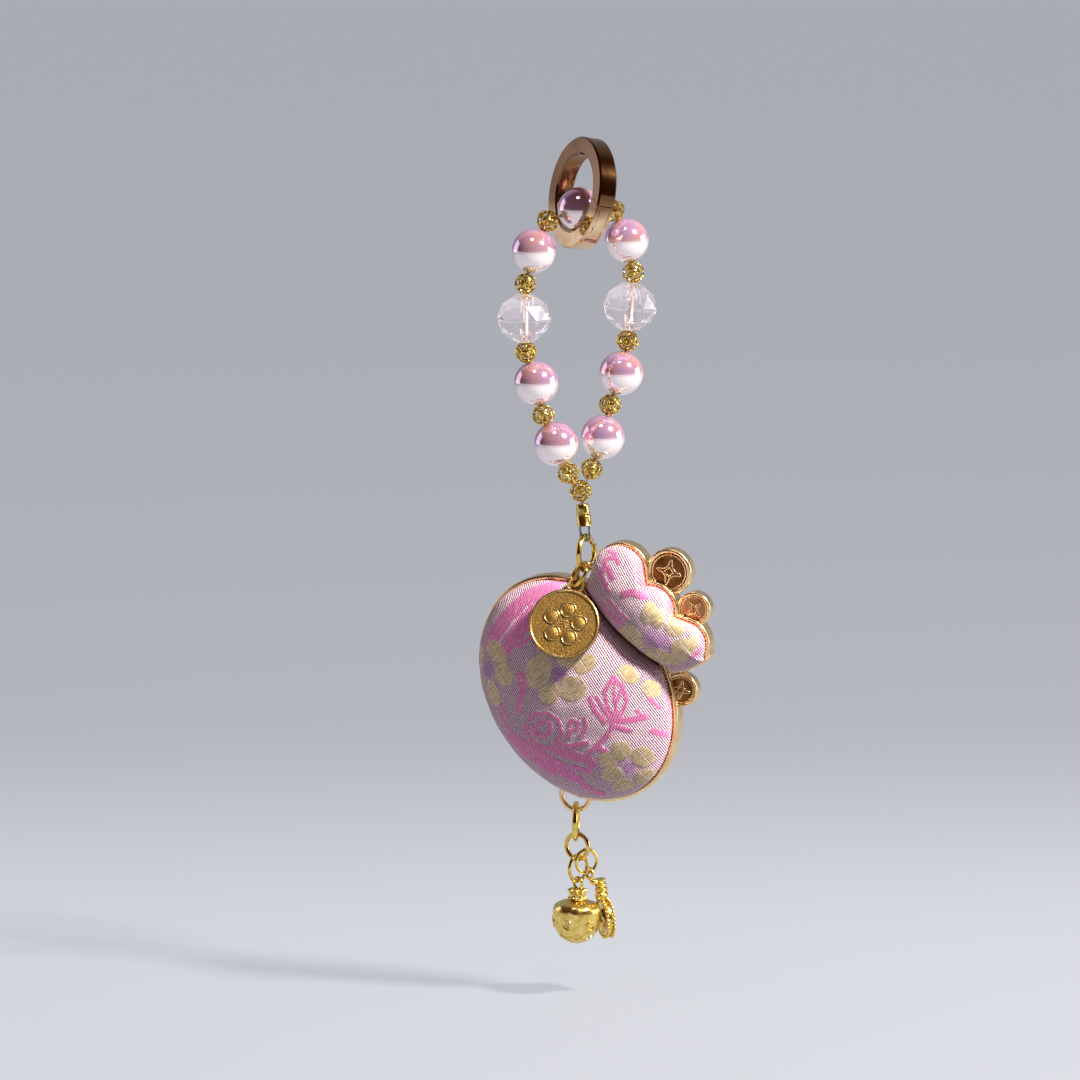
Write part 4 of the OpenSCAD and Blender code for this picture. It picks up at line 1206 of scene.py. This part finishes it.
def pleat(up):
    """How deep the pleats are at a height: strong on the neck, and running out down the belly."""
    if up > 0.3:
        return 0.13 * max(0, min(1, (up - 0.3) / 1.2))
    return 0.035 * max(0, 1 + (up - 0.1) / 2.2) if up < 0.1 else 0.0


def waved(a):
    """A point of the wavy line near the drop's foot."""
    deep = WAVE_AT + 0.3 * math.sin(9 * a)
    r = drop_r(deep) + 0.02
    return Vector((r * math.cos(a), r * math.sin(a), -deep))


def hang_drop(name, node, cast, lean, i, raise_by=0.0):
    """Adds the eye to a leaning drop and hangs it on the wire of a link."""
    low = (chain_3 - CHAIN[2][0] * UP, chain_4 + CHAIN[3][0] * drop_line)[i - 2]
    whole = bmesh.new()
    add_copy(whole, as_mesh(cast), lean)
    add_copy(whole, as_mesh(hoop(1.25, 0.7, 48, 12)), turned("Z", CHAIN[i][2] - 90) @ turned("X", 90))
    at = low + (CHAIN[i][1] / 2 + EYE_PLAY - 0.9) * UP + raise_by * UP
    make_piece(name, whole, "pouch", drop_gold, moved(at), [node], crease=50)


belly = [(0, -BELLY_DEEP)] + [(drop_r(z), -z) for z in np.linspace(10.05, 0.1, 44)]
neck = [(2.2, 0.06), (1.85, 0.4), (1.65, 0.8), (1.7, 1.3), (1.95, 1.8), (2.1, 2.1), (2.0, 2.35), (1.6, 2.5),
        (1.0, 2.6), (0, 2.6)]
shape = lathe(belly + neck, 144)
for v in shape.verts:
    a, up = math.atan2(v.co.y, v.co.x), v.co.z
    dent = 0.05 * noise.noise(v.co * 0.9) * min(1, v.co.xy.length)
    v.co.xy *= 1 + pleat(up) * math.cos(9 * a)
    v.co += v.co.normalized() * dent
flower, bud = as_mesh(hoop(1.1, 0.3, 36, 8)), as_mesh(hoop(0.34, 0.18, 16, 6))
for k in range(6):
    spot = turned("Z", 25 + 60 * k) @ moved(drop_r(FLOWERS_AT) - 0.04, 0, -FLOWERS_AT) @ turned("Y", 98)
    add_copy(shape, flower, spot)
    for j in range(5):
        add_copy(shape, bud, spot @ turned("Z", 72 * j) @ moved(0.42, 0, 0.06))
for k in range(22):
    add_copy(shape, grain, turned("Z", 360 * k / 22) @ moved(1.95, 0, 0.45) @ stretched(0.24))
add_copy(shape, as_mesh(swept_wire([[waved(a) for a in np.linspace(0, math.tau, 181)[:-1]]], 0.11, True, 1)))
hang_drop("bag_drop_cast", "bag_drop", shape, turned("Y", 2) @ moved(0, 0, -3.75), 2)

# %% Drum drop
DRUM_AT, BAIL_AT, ARM_AT = (1.3, 3.8, -10.9), (1.45, 2.4, -4), (0.55, 0.85, -2)
drum = lathe([(0, -0.7), (3.1, -0.7), (3.3, -0.85), (3.55, -0.9), (3.9, -0.8), (4.1, -0.5), (4.1, 0.5),
              (3.9, 0.8), (3.55, 0.9), (3.3, 0.85), (3.1, 0.7), (0, 0.7)], 96)
for face in (-1, 1):
    for k in range(28):
        spot = turned("Z", 360 * k / 28) @ moved(4.27, 0, face * 0.74)
        add_copy(drum, grain, spot @ stretched(0.43, 0.42, 0.42))
    add_copy(drum, as_mesh(swept_wire([star_line(7.2)], 0.16, True, 1)), moved(0, 0, face * 0.77))
bail = lathe([(0, 2.6), (0.8, 2.55), (1.2, 2.2), (1.2, 1.8), (0.9, 1.5), (1.3, 1.2), (1.3, 0.75), (1.0, 0.5),
              (1.35, 0.2), (1.35, -0.35), (1.05, -0.6), (1.4, -1.0), (1.4, -1.7), (1.1, -2.3), (0, -2.6)], 48)
arm = lathe([(0, 0.65), (0.8, 0.6), (1.05, 0.3), (1.05, -0.3), (0.8, -0.6), (0, -0.65)], 32)
cast = bmesh.new()
add_copy(cast, as_mesh(drum), moved(*DRUM_AT) @ turned("Z", 38) @ turned("Y", 90))
add_copy(cast, as_mesh(bail), moved(*BAIL_AT) @ stretched(1.02, 1.4, 1))
add_copy(cast, as_mesh(arm), moved(*ARM_AT) @ stretched(0.9, 1.19, 1))
hang_drop("drum_drop_cast", "drum_drop", cast, turned("Y", -6), 3, raise_by=0.12)
